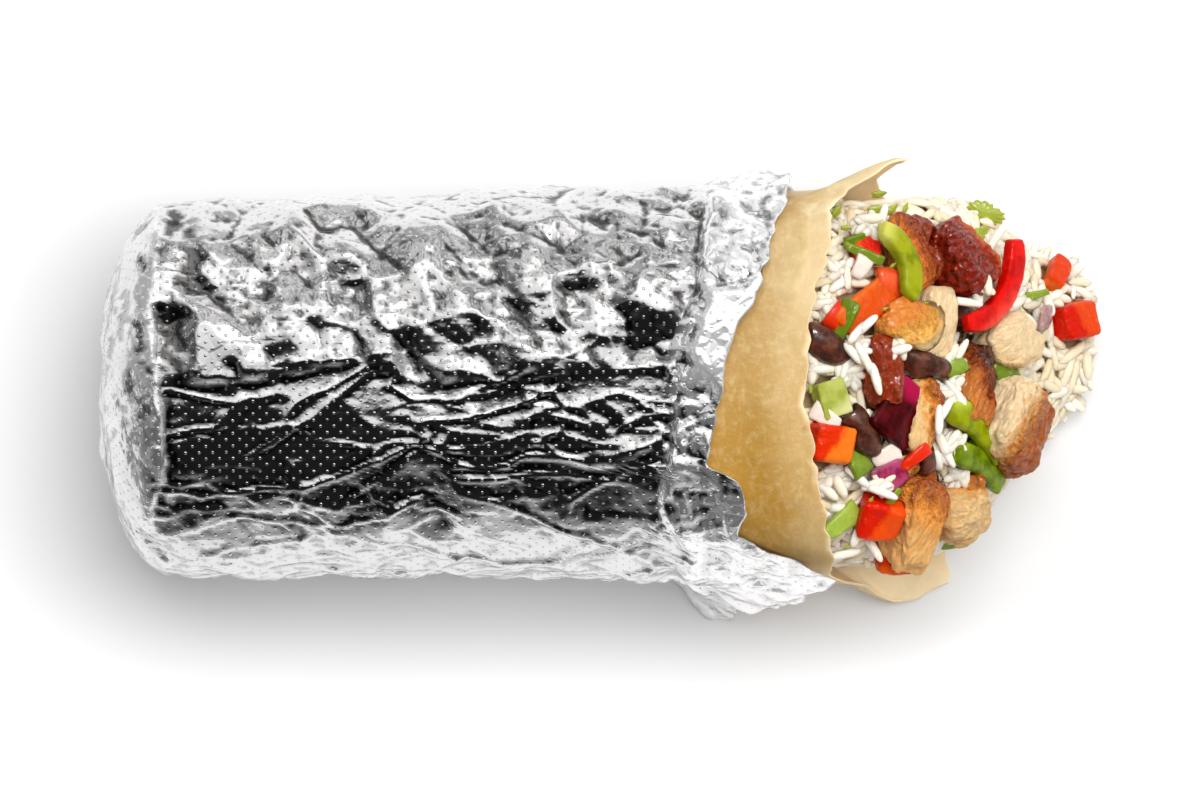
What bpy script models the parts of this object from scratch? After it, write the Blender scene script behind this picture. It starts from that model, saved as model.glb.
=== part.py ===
"""A burrito in foil, lying on its side with one end torn open and its filling spilling out.

The roll lies along X: the folded end points to -X and the torn end to +X. Y points to the back
and Z up. The origin is at the bottom centre of the whole, on the surface that it lies on.
Lengths are in metres, angles in degrees. Round the roll, an angle of 0 is the back, 90 the top,
180 the front and 270 the underside.
"""

import math
import random

import bmesh
import bpy
from mathutils import Matrix, Vector, noise

MM = 0.001

# The roll: a rounded-square section that widens a little towards the torn end
FOLDED_END_X = -112.4 * MM
TORN_X = 40 * MM
HALF_WIDTH_FOLDED = 41.2 * MM
HALF_WIDTH_TORN = 44.2 * MM
AXIS_Y_FOLDED = 0.4 * MM
AXIS_Y_TORN = 2.0 * MM
HALF_HEIGHT = 33 * MM
FLAT_DEPTH = 2 * MM
SQUARENESS = 2.5
END_ROUNDING = 24 * MM
END_SQUARENESS = 2.8

# The layers, from the outside in
FOIL_THICKNESS = 0.8 * MM
TORTILLA_THICKNESS = 2.2 * MM
LAYER_GAP = 0.5 * MM
TORTILLA_INSET = FOIL_THICKNESS + LAYER_GAP
FILLING_INSET = TORTILLA_INSET + TORTILLA_THICKNESS + LAYER_GAP

# The foil's torn rim, as (angle, x, outward flare) in millimetres: the tear dips over the top, and
# one corner stands out low at the front
FOIL_RIM = (
    (0, 40.5, 2),
    (11, 40.5, 2),
    (49, 38, 1.2),
    (75, 32.5, 0.8),
    (90, 26, 0.6),
    (104, 23, 0.4),
    (113, 22, 0.4),
    (120, 29.5, 0.4),
    (128, 31, 0.6),
    (136, 29, 1),
    (143, 34, 1.5),
    (154, 42.5, 2),
    (163, 50, 2),
    (180, 45, 4),
    (191, 37, 5.5),
    (202, 30, 9),
    (214, 24.5, 15),
    (226, 34, 5),
    (247, 44, 0.5),
    (300, 45, 0.5),
    (335, 42, 1.5),
)
FOIL_FLARE_LENGTH = 20 * MM
FOIL_CRUMPLE = 1.1 * MM
CRUMPLE_SIZE = 13 * MM

# The tortilla's torn rim in the same terms: a pointed tip at the back, a lip low at the front
TORTILLA_RIM = (
    (0, 60, 2.5),
    (11.25, 66.5, 6),
    (20, 60, 4),
    (27, 53, 1.5),
    (40, 49.5, 1),
    (62, 48, 1.5),
    (83, 43.5, 2),
    (93, 42.5, 2),
    (111, 44.5, 2),
    (129, 47, 1),
    (158, 48.5, 0.5),
    (185, 51, 1),
    (202, 58, 4.5),
    (214, 68, 12.5),
    (225, 79, 14),
    (236, 78, 6),
    (250, 74, 1),
    (285, 72, 0),
    (320, 70, 0),
    (340, 64, 0),
)
TORTILLA_FLARE_LENGTH = 18 * MM

# The filling past the torn rim, as (x, front y, back y, top z, widest z, floor z) in millimetres
HEAP = (
    (42, -38.2, 42.1, 58, 31, 4),
    (60, -38, 41.5, 53.5, 31, 4),
    (70, -37, 42.5, 48, 29, 4),
    (76, -34, 43.5, 43.5, 24, 4),
    (80, -31.5, 43.5, 40, 19, 0),
    (88, -23, 42.5, 32, 13, 0),
    (93, -16, 37.5, 25, 9, 0),
    (98, -10, 33.5, 17, 6, 0),
    (104, -3, 32.5, 11, 4.5, 0),
    (108, 2, 31, 8.5, 4, 0),
    (111, 9, 27, 6, 3, 0),
)
HEAP_END_X = 112.4 * MM
HEAP_LUMP = 1.4 * MM
LUMP_SIZE = 9 * MM

# Meshing
AROUND = 32
END_RINGS = 5
HEAP_RINGS = 14
CLEARANCE = 0.4 * MM
BLOCK_EDGE = 0.17
BEAN_SEGMENTS = 10
BEAN_RINGS = 7

COLOURS = {
    "foil": ((0.80, 0.79, 0.79), 0.28, 1.0),
    "tortilla": ((0.72, 0.52, 0.25), 0.7, 0.0),
    "rice": ((0.83, 0.74, 0.60), 0.5, 0.0),
    "chicken": ((0.70, 0.36, 0.11), 0.5, 0.0),
    "bean": ((0.05, 0.015, 0.01), 0.25, 0.0),
    "tomato": ((0.75, 0.06, 0.01), 0.3, 0.0),
    "pepper_green": ((0.26, 0.33, 0.03), 0.3, 0.0),
    "pepper_red": ((0.55, 0.01, 0.01), 0.25, 0.0),
    "onion": ((0.16, 0.01, 0.02), 0.3, 0.0),
}

# What lies in the filling, from the lowest up, because a lower piece gives way to a higher one:
# (name, kind, (x, y), (length, width, height), turn, lift), in millimetres and degrees. The turn
# is about the slope's normal, and lift is how much of the height stands above the rice.
PIECES = (
    ("bean_under_strip", "bean", (77.4, 15.3), (10, 7, 6.5), 20, 0.4),
    ("bean_under_pepper", "bean", (77.8, -17.5), (11, 7, 6.5), -55, 0.4),
    ("bean_low_front", "bean", (71.8, -22.9), (10, 7, 6), -60, 0.55),
    ("bean_front", "bean", (69.3, -17), (11.5, 7, 6.5), -78, 0.6),
    ("bean_right", "bean", (69.6, 4), (13, 7.6, 7), -16, 0.75),
    ("bean_left", "bean", (47.8, 7.2), (12.5, 7.4, 7), -33, 0.7),
    ("bean_middle", "bean", (55.4, -11.3), (13.5, 7.4, 7), -60, 0.8),
    ("chicken_pale_back", "chicken", (71.6, 13.8), (10, 17, 10), -8, 0.5),
    ("chicken_orange", "chicken", (67.4, 28.4), (11.5, 16.5, 11), 14, 0.6),
    ("chicken_dark", "chicken", (78.2, 28), (15, 16, 12), 32, 0.72),
    ("chicken_golden", "chicken", (65.6, 12.4), (14, 10.5, 9), -12, 0.75),
    ("chicken_left", "chicken", (61, 0.6), (7, 17, 10), 6, 0.62),
    ("chicken_centre", "chicken", (68.4, -8), (9, 18, 10), -10, 0.6),
    ("chicken_seared", "chicken", (81, -0.6), (10, 18.5, 11), -10, 0.62),
    ("chicken_round", "chicken", (88.8, 10.8), (15, 12.5, 12), 20, 0.6),
    ("chicken_fibrous", "chicken", (89.6, -8), (20, 19, 13), -22, 0.7),
    ("chicken_front", "chicken", (67, -30.6), (13, 21, 12), -6, 0.66),
    ("chicken_tan", "chicken", (78.2, -27.2), (14, 12, 12), 28, 0.66),
    ("chicken_crumb", "chicken", (64, -18.6), (8, 6, 6), 30, 0.5),
    ("tomato_low", "dice", (63.8, -38.6), (8, 5, 4), 0, 0.8),
    ("tomato_left", "dice", (48.8, -14.2), (8.8, 8.4, 8), -8, 0.72),
    ("tomato_front", "dice", (59.6, -29.3), (8.8, 8.4, 8), -14, 0.72),
    ("tomato_back", "dice", (56.4, 15.4), (14, 7, 6), 40, 0.74),
    ("tomato_wedge", "dice", (56.8, 29.4), (5.5, 8.5, 6), 8, 0.7),
    ("tomato_spilled", "dice", (106.7, 18.3), (10, 8, 7), 14, 0.72),
    ("tomato_skin", "dice", (103, 29), (4.5, 8, 4.5), -28, 0.7),
    ("pepper_pale", "dice", (49, -4.6), (7.5, 8.5, 5), 20, 0.7),
    ("onion_petal", "petal", (64.6, -7.4), (11, 14, 3), -38, 1.5),
    ("onion_dice", "petal", (61.6, -21), (7, 6, 3), 30, 1.1),
    ("pepper_slice", "strip", (82.2, -9.1), (22, 5.5, 3), -29, 1.6),
    ("pepper_rind", "strip", (82.4, -16.7), (22, 5, 3), -21, 1.1),
    ("pepper_hook", "strip", (65.8, 26.1), (18, 4.6, 3), -70, 2.7),
    ("pepper_red", "strip", (88.2, 19.8), (30, 4.8, 3.4), -129, 2.1),
)
# How far a strip's or a petal's arc turns from end to end
ARCS = {
    "pepper_slice": 53,
    "pepper_rind": 36,
    "pepper_hook": 100,
    "pepper_red": 85,
    "onion_petal": 50,
    "onion_dice": 40,
}
KIND_COLOURS = {
    "bean": "bean",
    "chicken": "chicken",
    "dice": "tomato",
    "petal": "onion",
    "strip": "pepper_green",
}


def clear_scene():
    for obj in list(bpy.data.objects):
        bpy.data.objects.remove(obj, do_unlink=True)


def make_collection(name):
    collection = bpy.data.collections.new(name)
    bpy.context.scene.collection.children.link(collection)
    return collection


def make_materials():
    """One plain finish for each kind of food and for the foil."""
    finishes = {}
    for name, (colour, roughness, metallic) in COLOURS.items():
        material = bpy.data.materials.new(name)
        material.use_nodes = True
        shader = material.node_tree.nodes["Principled BSDF"]
        shader.inputs["Base Color"].default_value = (*colour, 1)
        shader.inputs["Roughness"].default_value = roughness
        shader.inputs["Metallic"].default_value = metallic
        finishes[name] = material
    return finishes


def blend(low, high, share):
    return low + (high - low) * share


def smooth_share(share):
    share = min(max(share, 0.0), 1.0)
    return share * share * (3 - 2 * share)


def power(value, exponent):
    """A power that keeps the sign, for rounded-square sections."""
    return math.copysign(abs(value) ** exponent, value)


def along_knots(knots, place):
    """The row of a table at a place between two of its rows, eased from one to the next."""
    if place <= knots[0][0]:
        return knots[0][1:]
    for before, after in zip(knots, knots[1:]):
        if place <= after[0]:
            share = smooth_share((place - before[0]) / (after[0] - before[0]))
            return tuple(blend(a, b, share) for a, b in zip(before[1:], after[1:]))
    return knots[-1][1:]


def rim_at(rim, angle):
    """(x, outward flare) of a torn rim at an angle round the roll."""
    closed = rim + ((rim[0][0] + 360, *rim[0][1:]),)
    x, flare = along_knots(closed, angle % 360)
    return x * MM, flare * MM


def roll_section(x, inset):
    """(axis y, half width, half height) of the roll at x, for a layer that far inside it."""
    share = (x - FOLDED_END_X) / (TORN_X - FOLDED_END_X)
    axis_y = blend(AXIS_Y_FOLDED, AXIS_Y_TORN, share)
    half_width = blend(HALF_WIDTH_FOLDED, HALF_WIDTH_TORN, share)
    return axis_y, half_width - inset, HALF_HEIGHT - inset


def section_point(x, angle, centre, half_sizes, floor):
    """A point of a rounded-square section, cut flat where it would pass below its floor."""
    turn = math.radians(angle)
    y = centre[0] + half_sizes[0] * power(math.cos(turn), 2 / SQUARENESS)
    z = centre[1] + half_sizes[1] * power(math.sin(turn), 2 / SQUARENESS)
    return Vector((x, y, max(z, floor)))


def roll_point(x, angle, inset, scale=1.0, outward=0.0):
    """A point of a layer of the roll. Scale draws the section in where the folded end rounds off."""
    axis_y, half_width, half_height = roll_section(x, inset)
    halves = (half_width * scale + outward, half_height * scale + outward)
    return section_point(x, angle, (axis_y, HALF_HEIGHT - FLAT_DEPTH), halves, inset)


def end_stations(inset):
    """(x, scale) of the rings that round off the folded end, from the tip inwards."""
    length = END_ROUNDING - inset
    stations = []
    for ring in range(1, END_RINGS + 1):
        turn = math.radians(90 * (1 - ring / END_RINGS))
        reach = math.sin(turn) ** (2 / END_SQUARENESS)
        scale = math.cos(turn) ** (2 / END_SQUARENESS)
        stations.append((FOLDED_END_X + END_ROUNDING - reach * length, scale))
    return stations


def ring_angles():
    return [360 * step / AROUND for step in range(AROUND)]


def loft(name, rings, first_tip, last_tip=None):
    """A surface through rings of points, closed by a tip at its start and, if given, at its end."""
    mesh = bmesh.new()
    rows = [[mesh.verts.new(point) for point in ring] for ring in rings]
    tip = mesh.verts.new(first_tip)
    for here in range(AROUND):
        there = (here + 1) % AROUND
        mesh.faces.new((tip, rows[0][here], rows[0][there]))
        for row, after in zip(rows, rows[1:]):
            mesh.faces.new((row[here], after[here], after[there], row[there]))
    if last_tip:
        end = mesh.verts.new(last_tip)
        for here in range(AROUND):
            mesh.faces.new((end, rows[-1][(here + 1) % AROUND], rows[-1][here]))
    bmesh.ops.recalc_face_normals(mesh, faces=mesh.faces)
    data = bpy.data.meshes.new(name)
    mesh.to_mesh(data)
    mesh.free()
    return bpy.data.objects.new(name, data)


def crumple(point):
    """How far the foil stands out from the roll here, from 0 to FOIL_CRUMPLE."""
    return FOIL_CRUMPLE * (0.5 + 0.5 * noise.noise(point / CRUMPLE_SIZE))


def layer_rings(inset, rim, flare_length, stations, crumpled):
    """The rings of a layer: the rounded end, then evenly along to its own torn rim."""
    rings = []
    for x, scale in end_stations(inset):
        ring = []
        for angle in ring_angles():
            plain = roll_point(x, angle, inset, scale)
            outward = crumple(plain) * scale if crumpled else 0
            ring.append(roll_point(x, angle, inset, scale, outward))
        rings.append(ring)
    start_x = FOLDED_END_X + END_ROUNDING
    for step in range(1, stations + 1):
        ring = []
        for angle in ring_angles():
            rim_x, flare = rim_at(rim, angle)
            x = blend(start_x, rim_x, (step / stations) ** 0.8)
            plain = roll_point(x, angle, inset)
            outward = crumple(plain) if crumpled else 0
            outward += flare * smooth_share(1 - (rim_x - x) / flare_length)
            ring.append(roll_point(x, angle, inset, 1, outward))
        rings.append(ring)
    return rings


def make_layer(name, inset, thickness, rim, flare_length, stations, crumpled):
    """A layer of the roll: an open surface with its thickness on the inside."""
    rings = layer_rings(inset, rim, flare_length, stations, crumpled)
    tip = Vector((FOLDED_END_X + inset, AXIS_Y_FOLDED, HALF_HEIGHT - FLAT_DEPTH))
    layer = loft(name, rings, tip)
    wall = layer.modifiers.new("wall", "SOLIDIFY")
    wall.thickness = thickness
    wall.offset = -1
    wall.use_even_offset = False
    return layer


def heap_section(x):
    """(centre y, half width, top z, widest z, floor z) of the filling past the torn rim."""
    front, back, top, widest, floor = (v * MM for v in along_knots(HEAP, x / MM))
    return (front + back) / 2, (back - front) / 2, top, widest, floor


def heap_point(x, angle):
    """A point of the spilled filling's section: a dome on a trough that follows the tortilla."""
    centre_y, half_width, top, widest, floor = heap_section(x)
    upper = math.sin(math.radians(angle)) > 0
    half_height = top - widest if upper else widest - floor + FLAT_DEPTH
    point = section_point(x, angle, (centre_y, widest), (half_width, half_height), floor)
    if upper:
        point.z += HEAP_LUMP * noise.noise(point / LUMP_SIZE) * smooth_share(
            (x - TORN_X) / LUMP_SIZE
        )
    return point


def heap_height(x, y):
    """Height of the filling's top over a place on the surface that the burrito lies on."""
    centre_y, half_width, top, widest, _ = heap_section(x)
    across = min(abs(y - centre_y) / half_width, 0.98)
    return widest + (top - widest) * (1 - across**SQUARENESS) ** (1 / SQUARENESS)


def heap_normal(x, y):
    step = 2 * MM
    along = Vector((2 * step, 0, heap_height(x + step, y) - heap_height(x - step, y)))
    across = Vector((0, 2 * step, heap_height(x, y + step) - heap_height(x, y - step)))
    return along.cross(across).normalized()


def make_filling():
    """The rice, which runs through the whole roll and spills out of its torn end."""
    rings = []
    for x, scale in end_stations(FILLING_INSET):
        rings.append([roll_point(x, a, FILLING_INSET, scale) for a in ring_angles()])
    rings.append([roll_point(TORN_X, a, FILLING_INSET) for a in ring_angles()])
    start_x = TORN_X + 4 * MM
    for ring in range(HEAP_RINGS + 1):
        x = blend(start_x, HEAP[-1][0] * MM, ring / HEAP_RINGS)
        rings.append([heap_point(x, a) for a in ring_angles()])
    first_tip = Vector(
        (FOLDED_END_X + FILLING_INSET, AXIS_Y_FOLDED, HALF_HEIGHT - FLAT_DEPTH)
    )
    centre_y, _, _, widest, _ = heap_section(HEAP_END_X)
    last_tip = Vector((HEAP_END_X, centre_y, widest))
    return loft("rice_filling", rings, first_tip, last_tip)


def block_mesh(size, cuts, bevel, seed, shift):
    """A box with rounded edges whose corners are moved a little, as in hand-cut food."""
    mesh = bmesh.new()
    bmesh.ops.create_cube(mesh, size=1)
    if cuts:
        edges = [e for e in mesh.edges if abs((e.verts[0].co - e.verts[1].co).x) > 0.5]
        bmesh.ops.subdivide_edges(mesh, edges=edges, cuts=cuts, use_grid_fill=True)
    rounded = [e for e in mesh.edges if e.calc_face_angle(0) > 1]
    bmesh.ops.bevel(
        mesh,
        geom=rounded,
        offset=bevel,
        segments=1,
        profile=0.5,
        affect="EDGES",
        clamp_overlap=True,
    )
    chance = random.Random(seed)
    corners = [Vector([chance.uniform(-shift, shift) for _ in range(3)]) for _ in range(8)]
    for vert in mesh.verts:
        corner = 4 * (vert.co.x > 0) + 2 * (vert.co.y > 0) + (vert.co.z > 0)
        vert.co += corners[corner] * min(abs(vert.co.x) * 2, 1)
        vert.co = Vector(a * b for a, b in zip(vert.co, size))
    bmesh.ops.triangulate(mesh, faces=mesh.faces)
    return mesh


def bean_mesh(size):
    """A bean: a ball drawn out along X and bowed, with a shallow dent in its hollow side."""
    mesh = bmesh.new()
    bmesh.ops.create_uvsphere(
        mesh, u_segments=BEAN_SEGMENTS, v_segments=BEAN_RINGS, radius=0.5
    )
    for vert in mesh.verts:
        x, y, z = vert.co.z, vert.co.x, vert.co.y
        y += 0.5 * (x * x - 0.12)
        vert.co = Vector((x * size[0], y * size[1], z * size[2]))
    return mesh


def bend(mesh, length, arc):
    """Bends a piece that lies along X round an arc in its own XY plane."""
    radius = length / math.radians(arc)
    for vert in mesh.verts:
        turn = vert.co.x / radius
        reach = radius + vert.co.y
        vert.co.x = reach * math.sin(turn)
        vert.co.y = reach * math.cos(turn) - radius
    return mesh


def cup(mesh, length, arc):
    """Bends a piece that lies along X downwards at both ends, as an onion's layer is."""
    radius = length / math.radians(arc)
    for vert in mesh.verts:
        turn = vert.co.x / radius
        reach = radius + vert.co.z
        vert.co.x = reach * math.sin(turn)
        vert.co.z = reach * math.cos(turn) - radius
    return mesh


def piece_mesh(name, kind, size):
    """The mesh of a piece in its own axes."""
    size = [side * MM for side in size]
    if kind == "bean":
        return bean_mesh(size)
    if kind == "chicken":
        return block_mesh(size, 1, BLOCK_EDGE, name, 0.13)
    if kind == "dice":
        return block_mesh(size, 0, BLOCK_EDGE / 2, name, 0.06)
    if kind == "petal":
        return cup(block_mesh(size, 3, BLOCK_EDGE / 3, name, 0.05), size[0], ARCS[name])
    return bend(block_mesh(size, 6, BLOCK_EDGE, name, 0.03), size[0], ARCS[name])


def grown(mesh, clearance):
    """The same mesh with its surface moved out everywhere."""
    mesh.normal_update()
    moves = [vert.normal * vert.calc_shell_factor() * clearance for vert in mesh.verts]
    for vert, move in zip(mesh.verts, moves):
        vert.co += move
    return mesh


def piece_place(place, size, turn, lift):
    """Where a piece lies: on the heap's slope, turned about its normal and sunk into the rice."""
    x, y = place[0] * MM, place[1] * MM
    normal = heap_normal(x, y)
    rise = size[2] * MM * (lift - 0.5) / normal.z
    spot = Vector((x, y, heap_height(x, y) + rise))
    slope = Vector((0, 0, 1)).rotation_difference(normal).to_matrix().to_4x4()
    return (
        Matrix.Translation(spot) @ slope @ Matrix.Rotation(math.radians(turn), 4, "Z")
    )


def add_object(name, mesh, matrix, collection):
    data = bpy.data.meshes.new(name)
    mesh.to_mesh(data)
    mesh.free()
    obj = bpy.data.objects.new(name, data)
    obj.matrix_world = matrix
    collection.objects.link(obj)
    return obj


def cut(obj, cutter):
    pocket = obj.modifiers.new("gives_way_to_" + cutter.name, "BOOLEAN")
    pocket.operation = "DIFFERENCE"
    pocket.solver = "MANIFOLD"
    pocket.object = cutter


def settle(obj):
    """Applies an object's cuts and drops the crumbs that they leave loose."""
    depsgraph = bpy.context.evaluated_depsgraph_get()
    data = bpy.data.meshes.new_from_object(obj.evaluated_get(depsgraph))
    mesh = bmesh.new()
    mesh.from_mesh(data)
    unseen = set(mesh.verts)
    bodies = []
    while unseen:
        body, edge = set(), {unseen.pop()}
        while edge:
            body |= edge
            edge = {e.other_vert(v) for v in edge for e in v.link_edges} - body
        unseen -= body
        bodies.append(body)
    bodies.sort(key=len)
    crumbs = [vert for body in bodies[:-1] for vert in body]
    bmesh.ops.delete(mesh, geom=crumbs, context="VERTS")
    mesh.to_mesh(data)
    mesh.free()
    obj.modifiers.clear()
    obj.data = data


def near(first, second):
    """Whether two objects' bounding boxes meet."""
    boxes = []
    for obj in (first, second):
        corners = [obj.matrix_world @ Vector(corner) for corner in obj.bound_box]
        boxes.append([(min(c[i] for c in corners), max(c[i] for c in corners)) for i in range(3)])
    return all(a[0] < b[1] and b[0] < a[1] for a, b in zip(*boxes))


def make_pieces(part, cutters, finishes):
    """The pieces in the filling, and for each the cutter that makes room for it in the rest."""
    pieces, rooms = [], []
    for name, kind, place, size, turn, lift in PIECES:
        matrix = piece_place(place, size, turn, lift)
        piece = add_object(name, piece_mesh(name, kind, size), matrix, part)
        room = grown(piece_mesh(name, kind, size), CLEARANCE)
        cutter = add_object(name + "_room", room, matrix, cutters)
        cutter.display_type = "WIRE"
        cutter.hide_render = True
        colour = name if name in COLOURS else KIND_COLOURS[kind]
        colour = "pepper_green" if name == "pepper_pale" else colour
        piece.data.materials.append(finishes[colour])
        piece.data.shade_smooth()
        pieces.append(piece)
        rooms.append(cutter)
    bpy.context.view_layer.update()
    for lower, piece in enumerate(pieces):
        for cutter in rooms[lower + 1 :]:
            if near(piece, cutter):
                cut(piece, cutter)
    return pieces, rooms


def main():
    clear_scene()
    part = make_collection("burrito")
    cutters = make_collection("cutters")
    finishes = make_materials()

    foil = make_layer(
        "foil_wrap", 0, FOIL_THICKNESS, FOIL_RIM, FOIL_FLARE_LENGTH, 12, True
    )
    tortilla = make_layer(
        "tortilla",
        TORTILLA_INSET,
        TORTILLA_THICKNESS,
        TORTILLA_RIM,
        TORTILLA_FLARE_LENGTH,
        8,
        False,
    )
    filling = make_filling()
    for layer, finish in ((foil, "foil"), (tortilla, "tortilla"), (filling, "rice")):
        layer.data.materials.append(finishes[finish])
        part.objects.link(layer)

    pieces, rooms = make_pieces(part, cutters, finishes)
    for cutter in rooms:
        cut(filling, cutter)
    for obj in (filling, *pieces):
        settle(obj)


main()
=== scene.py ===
"""A burrito in embossed foil, torn open at its end, on a pale table under one broad soft light."""

import math
import random

import bpy
import numpy as np
from mathutils import Matrix, Vector
from mathutils.bvhtree import BVHTree


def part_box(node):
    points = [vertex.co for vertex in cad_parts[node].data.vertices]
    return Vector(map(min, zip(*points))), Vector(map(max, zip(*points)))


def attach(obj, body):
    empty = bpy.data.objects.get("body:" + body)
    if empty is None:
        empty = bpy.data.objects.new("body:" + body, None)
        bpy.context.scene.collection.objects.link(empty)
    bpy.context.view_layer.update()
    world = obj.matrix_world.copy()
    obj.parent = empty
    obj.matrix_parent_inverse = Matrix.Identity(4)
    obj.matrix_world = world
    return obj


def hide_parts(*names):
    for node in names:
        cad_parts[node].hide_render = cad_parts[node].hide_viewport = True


MM = 0.001

# The roll, as its solids have it, in millimetres and degrees. Round the roll, 0 is the back,
# 90 the top, 180 the front and 270 the underside.
FOLDED_END_X = -112.4
TORN_X = 40
HALF_WIDTHS = (41.2, 44.2)
AXIS_YS = (0.4, 2.0)
HALF_HEIGHT = 33
FLAT_DEPTH = 2
SQUARENESS = 2.5
END_ROUNDING = 24
END_SQUARENESS = 2.5

FOIL_RIM = (
    (0, 40.5, 2),
    (11, 40.5, 2),
    (49, 38, 1.2),
    (75, 32.5, 0.8),
    (90, 26, 0.6),
    (104, 23, 0.4),
    (113, 22, 0.4),
    (118, 28.5, 0.4),
    (128, 31, 0.6),
    (136, 29, 1),
    (143, 34, 1.5),
    (154, 42.5, 2),
    (163, 50, 2),
    (180, 45, 4),
    (191, 37, 5.5),
    (202, 30, 9),
    (214, 24.5, 15),
    (226, 34, 5),
    (247, 44, 0.5),
    (300, 45, 0.5),
    (335, 42, 1.5),
)
# Where the foil's crushed cuff begins: (angle, x).
FOIL_CUFF = (
    (0, 24),
    (45, 23),
    (70, 20),
    (88, 15.5),
    (112, 13.5),
    (128, 13),
    (150, 19),
    (190, 12),
    (235, 14),
    (300, 24),
)
FOIL_FLARE_LENGTH = 20
FOIL_GAUGE = 0.25
FOIL_COLUMNS = 345
FOIL_END_ROWS = 50
FOIL_ROWS = 228

TORTILLA_RIM = (
    (0, 60, 2.5),
    (11.25, 66.5, 6),
    (20, 60, 4),
    (27, 53, 1.5),
    (40, 49.5, 1),
    (62, 48, 1.5),
    (83, 43.5, 2),
    (93, 42.5, 2),
    (111, 44.5, 2),
    (129, 47, 1),
    (158, 48.5, 0.5),
    (185, 51, 1),
    (202, 58, 4.5),
    (214, 68, 12.5),
    (225, 79, 14),
    (236, 78, 6),
    (250, 74, 1),
    (285, 72, 0),
    (320, 70, 0),
    (340, 64, 0),
)
TORTILLA_FLARE_LENGTH = 18
TORTILLA_INSET = 1.4
TORTILLA_THICKNESS = 2.0
TORTILLA_COLUMNS = 260

# Rice shows beyond this place. Sizes of grains are in millimetres.
SPILL_X = 41
GRAIN_LENGTHS = (6.4, 9.6)
GRAIN_WIDTHS = (1.8, 2.4)
GRAIN_SPACING = 2.1
STRAY_GRAINS = 46
RICE_REACH_X = 114.5

SOFTBOX_GLOW = 1.02
SOFTBOX_LEAN = 25
SOFTBOX_EDGE = (0.44, 0.24)
SOFTBOX_SIDES = (0.85, 0.3)
HORIZON_GLOW = 0.56
WALL_GLOW = 0.4
ROOM_GLOW = 0.012
BACKDROP_GLOW = 0.85

# Grains that lie across other pieces: (x, y, z, heading, rise, length).
LAID_GRAINS = (
    (79.2, 17.8, 47.0, -8, 0, 8.6),
    (87.4, 34.4, 33.0, 55, 8, 9.5),
    (81.8, 22.5, 46.5, 60, 0, 6.5),
    (60.5, 35.5, 52.5, 75, 0, 8.0),
    (56.4, 11.0, 61.4, 42, 0, 7.5),
    (54.4, 9.4, 61.4, 50, 0, 7.0),
    (56.2, 3.6, 60.4, -62, 0, 10.0),
    (58.4, -0.6, 60.6, -75, 0, 8.5),
    (53.6, 5.0, 59.8, -50, 0, 7.0),
    (84.8, 41.2, 26.5, 12, 0, 7.5),
    (72.6, -8.6, 52.8, 88, 0, 8.0),
    (74.0, -6.4, 52.6, 60, 0, 7.0),
    (59.8, -24.6, 55.0, -22, 0, 9.0),
    (54.6, -21.4, 55.4, -40, 0, 8.0),
    (58.6, -36.2, 46.0, -58, -5, 8.0),
    (52.4, -37.4, 45.6, 14, 0, 8.0),
    (54.6, -33.8, 48.8, 70, 0, 5.5),
)

# Clumps of grains in the gaps between other pieces: (x, y, z, reach, grains).
RICE_CLUMPS = (
    (57.2, 34.0, 53.4, 2.2, 11),
    (51.7, 22.4, 54.6, 3.0, 11),
    (48.9, 15.9, 57.4, 2.6, 9),
    (55.8, 7.0, 58.6, 2.0, 7),
    (45.2, 2.6, 58.2, 2.6, 11),
    (52.5, 0.6, 57.2, 3.0, 13),
    (63.4, 6.6, 58.4, 1.6, 5),
    (75.8, 4.6, 47.6, 2.2, 13),
    (82.3, 21.6, 47.4, 2.0, 9),
    (74.6, -2.4, 50.2, 2.6, 16),
    (74.4, -14.4, 47.4, 3.6, 20),
    (77.6, -20.4, 42.6, 2.6, 11),
    (50.2, -22.0, 53.8, 3.6, 14),
    (47.8, -27.0, 51.0, 2.6, 9),
    (58.6, -22.6, 54.4, 2.2, 7),
    (98.6, 22.4, 17.0, 3.4, 14),
)


# ---------------------------------------------------------------------------------- shader maths


class Signal:
    """An output of a material's nodes. Python's arithmetic on numbers adds Math nodes."""

    def __init__(self, finish, socket):
        self.finish = finish
        self.socket = socket

    def math(self, operation, *values):
        inputs = dict(enumerate((self, *values)))
        return self.finish.node("ShaderNodeMath", {"operation": operation}, inputs)

    def __add__(self, other):
        return self.math("ADD", other)

    def __sub__(self, other):
        return self.math("SUBTRACT", other)

    def __rsub__(self, other):
        return (self * -1) + other

    def __mul__(self, other):
        return self.math("MULTIPLY", other)

    def __truediv__(self, other):
        return self.math("DIVIDE", other)

    def __pow__(self, other):
        return self.math("POWER", other)

    __radd__ = __add__
    __rmul__ = __mul__

    def lowest(self, other):
        return self.math("MINIMUM", other)

    def highest(self, other):
        return self.math("MAXIMUM", other)

    def eased(self, start, end):
        """0 below start and 1 above end, or the other way round, with a smooth step between."""
        settings = {"interpolation_type": "SMOOTHSTEP"}
        inputs = {"Value": self, "From Min": start, "From Max": end}
        return self.finish.node("ShaderNodeMapRange", settings, inputs)


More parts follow.
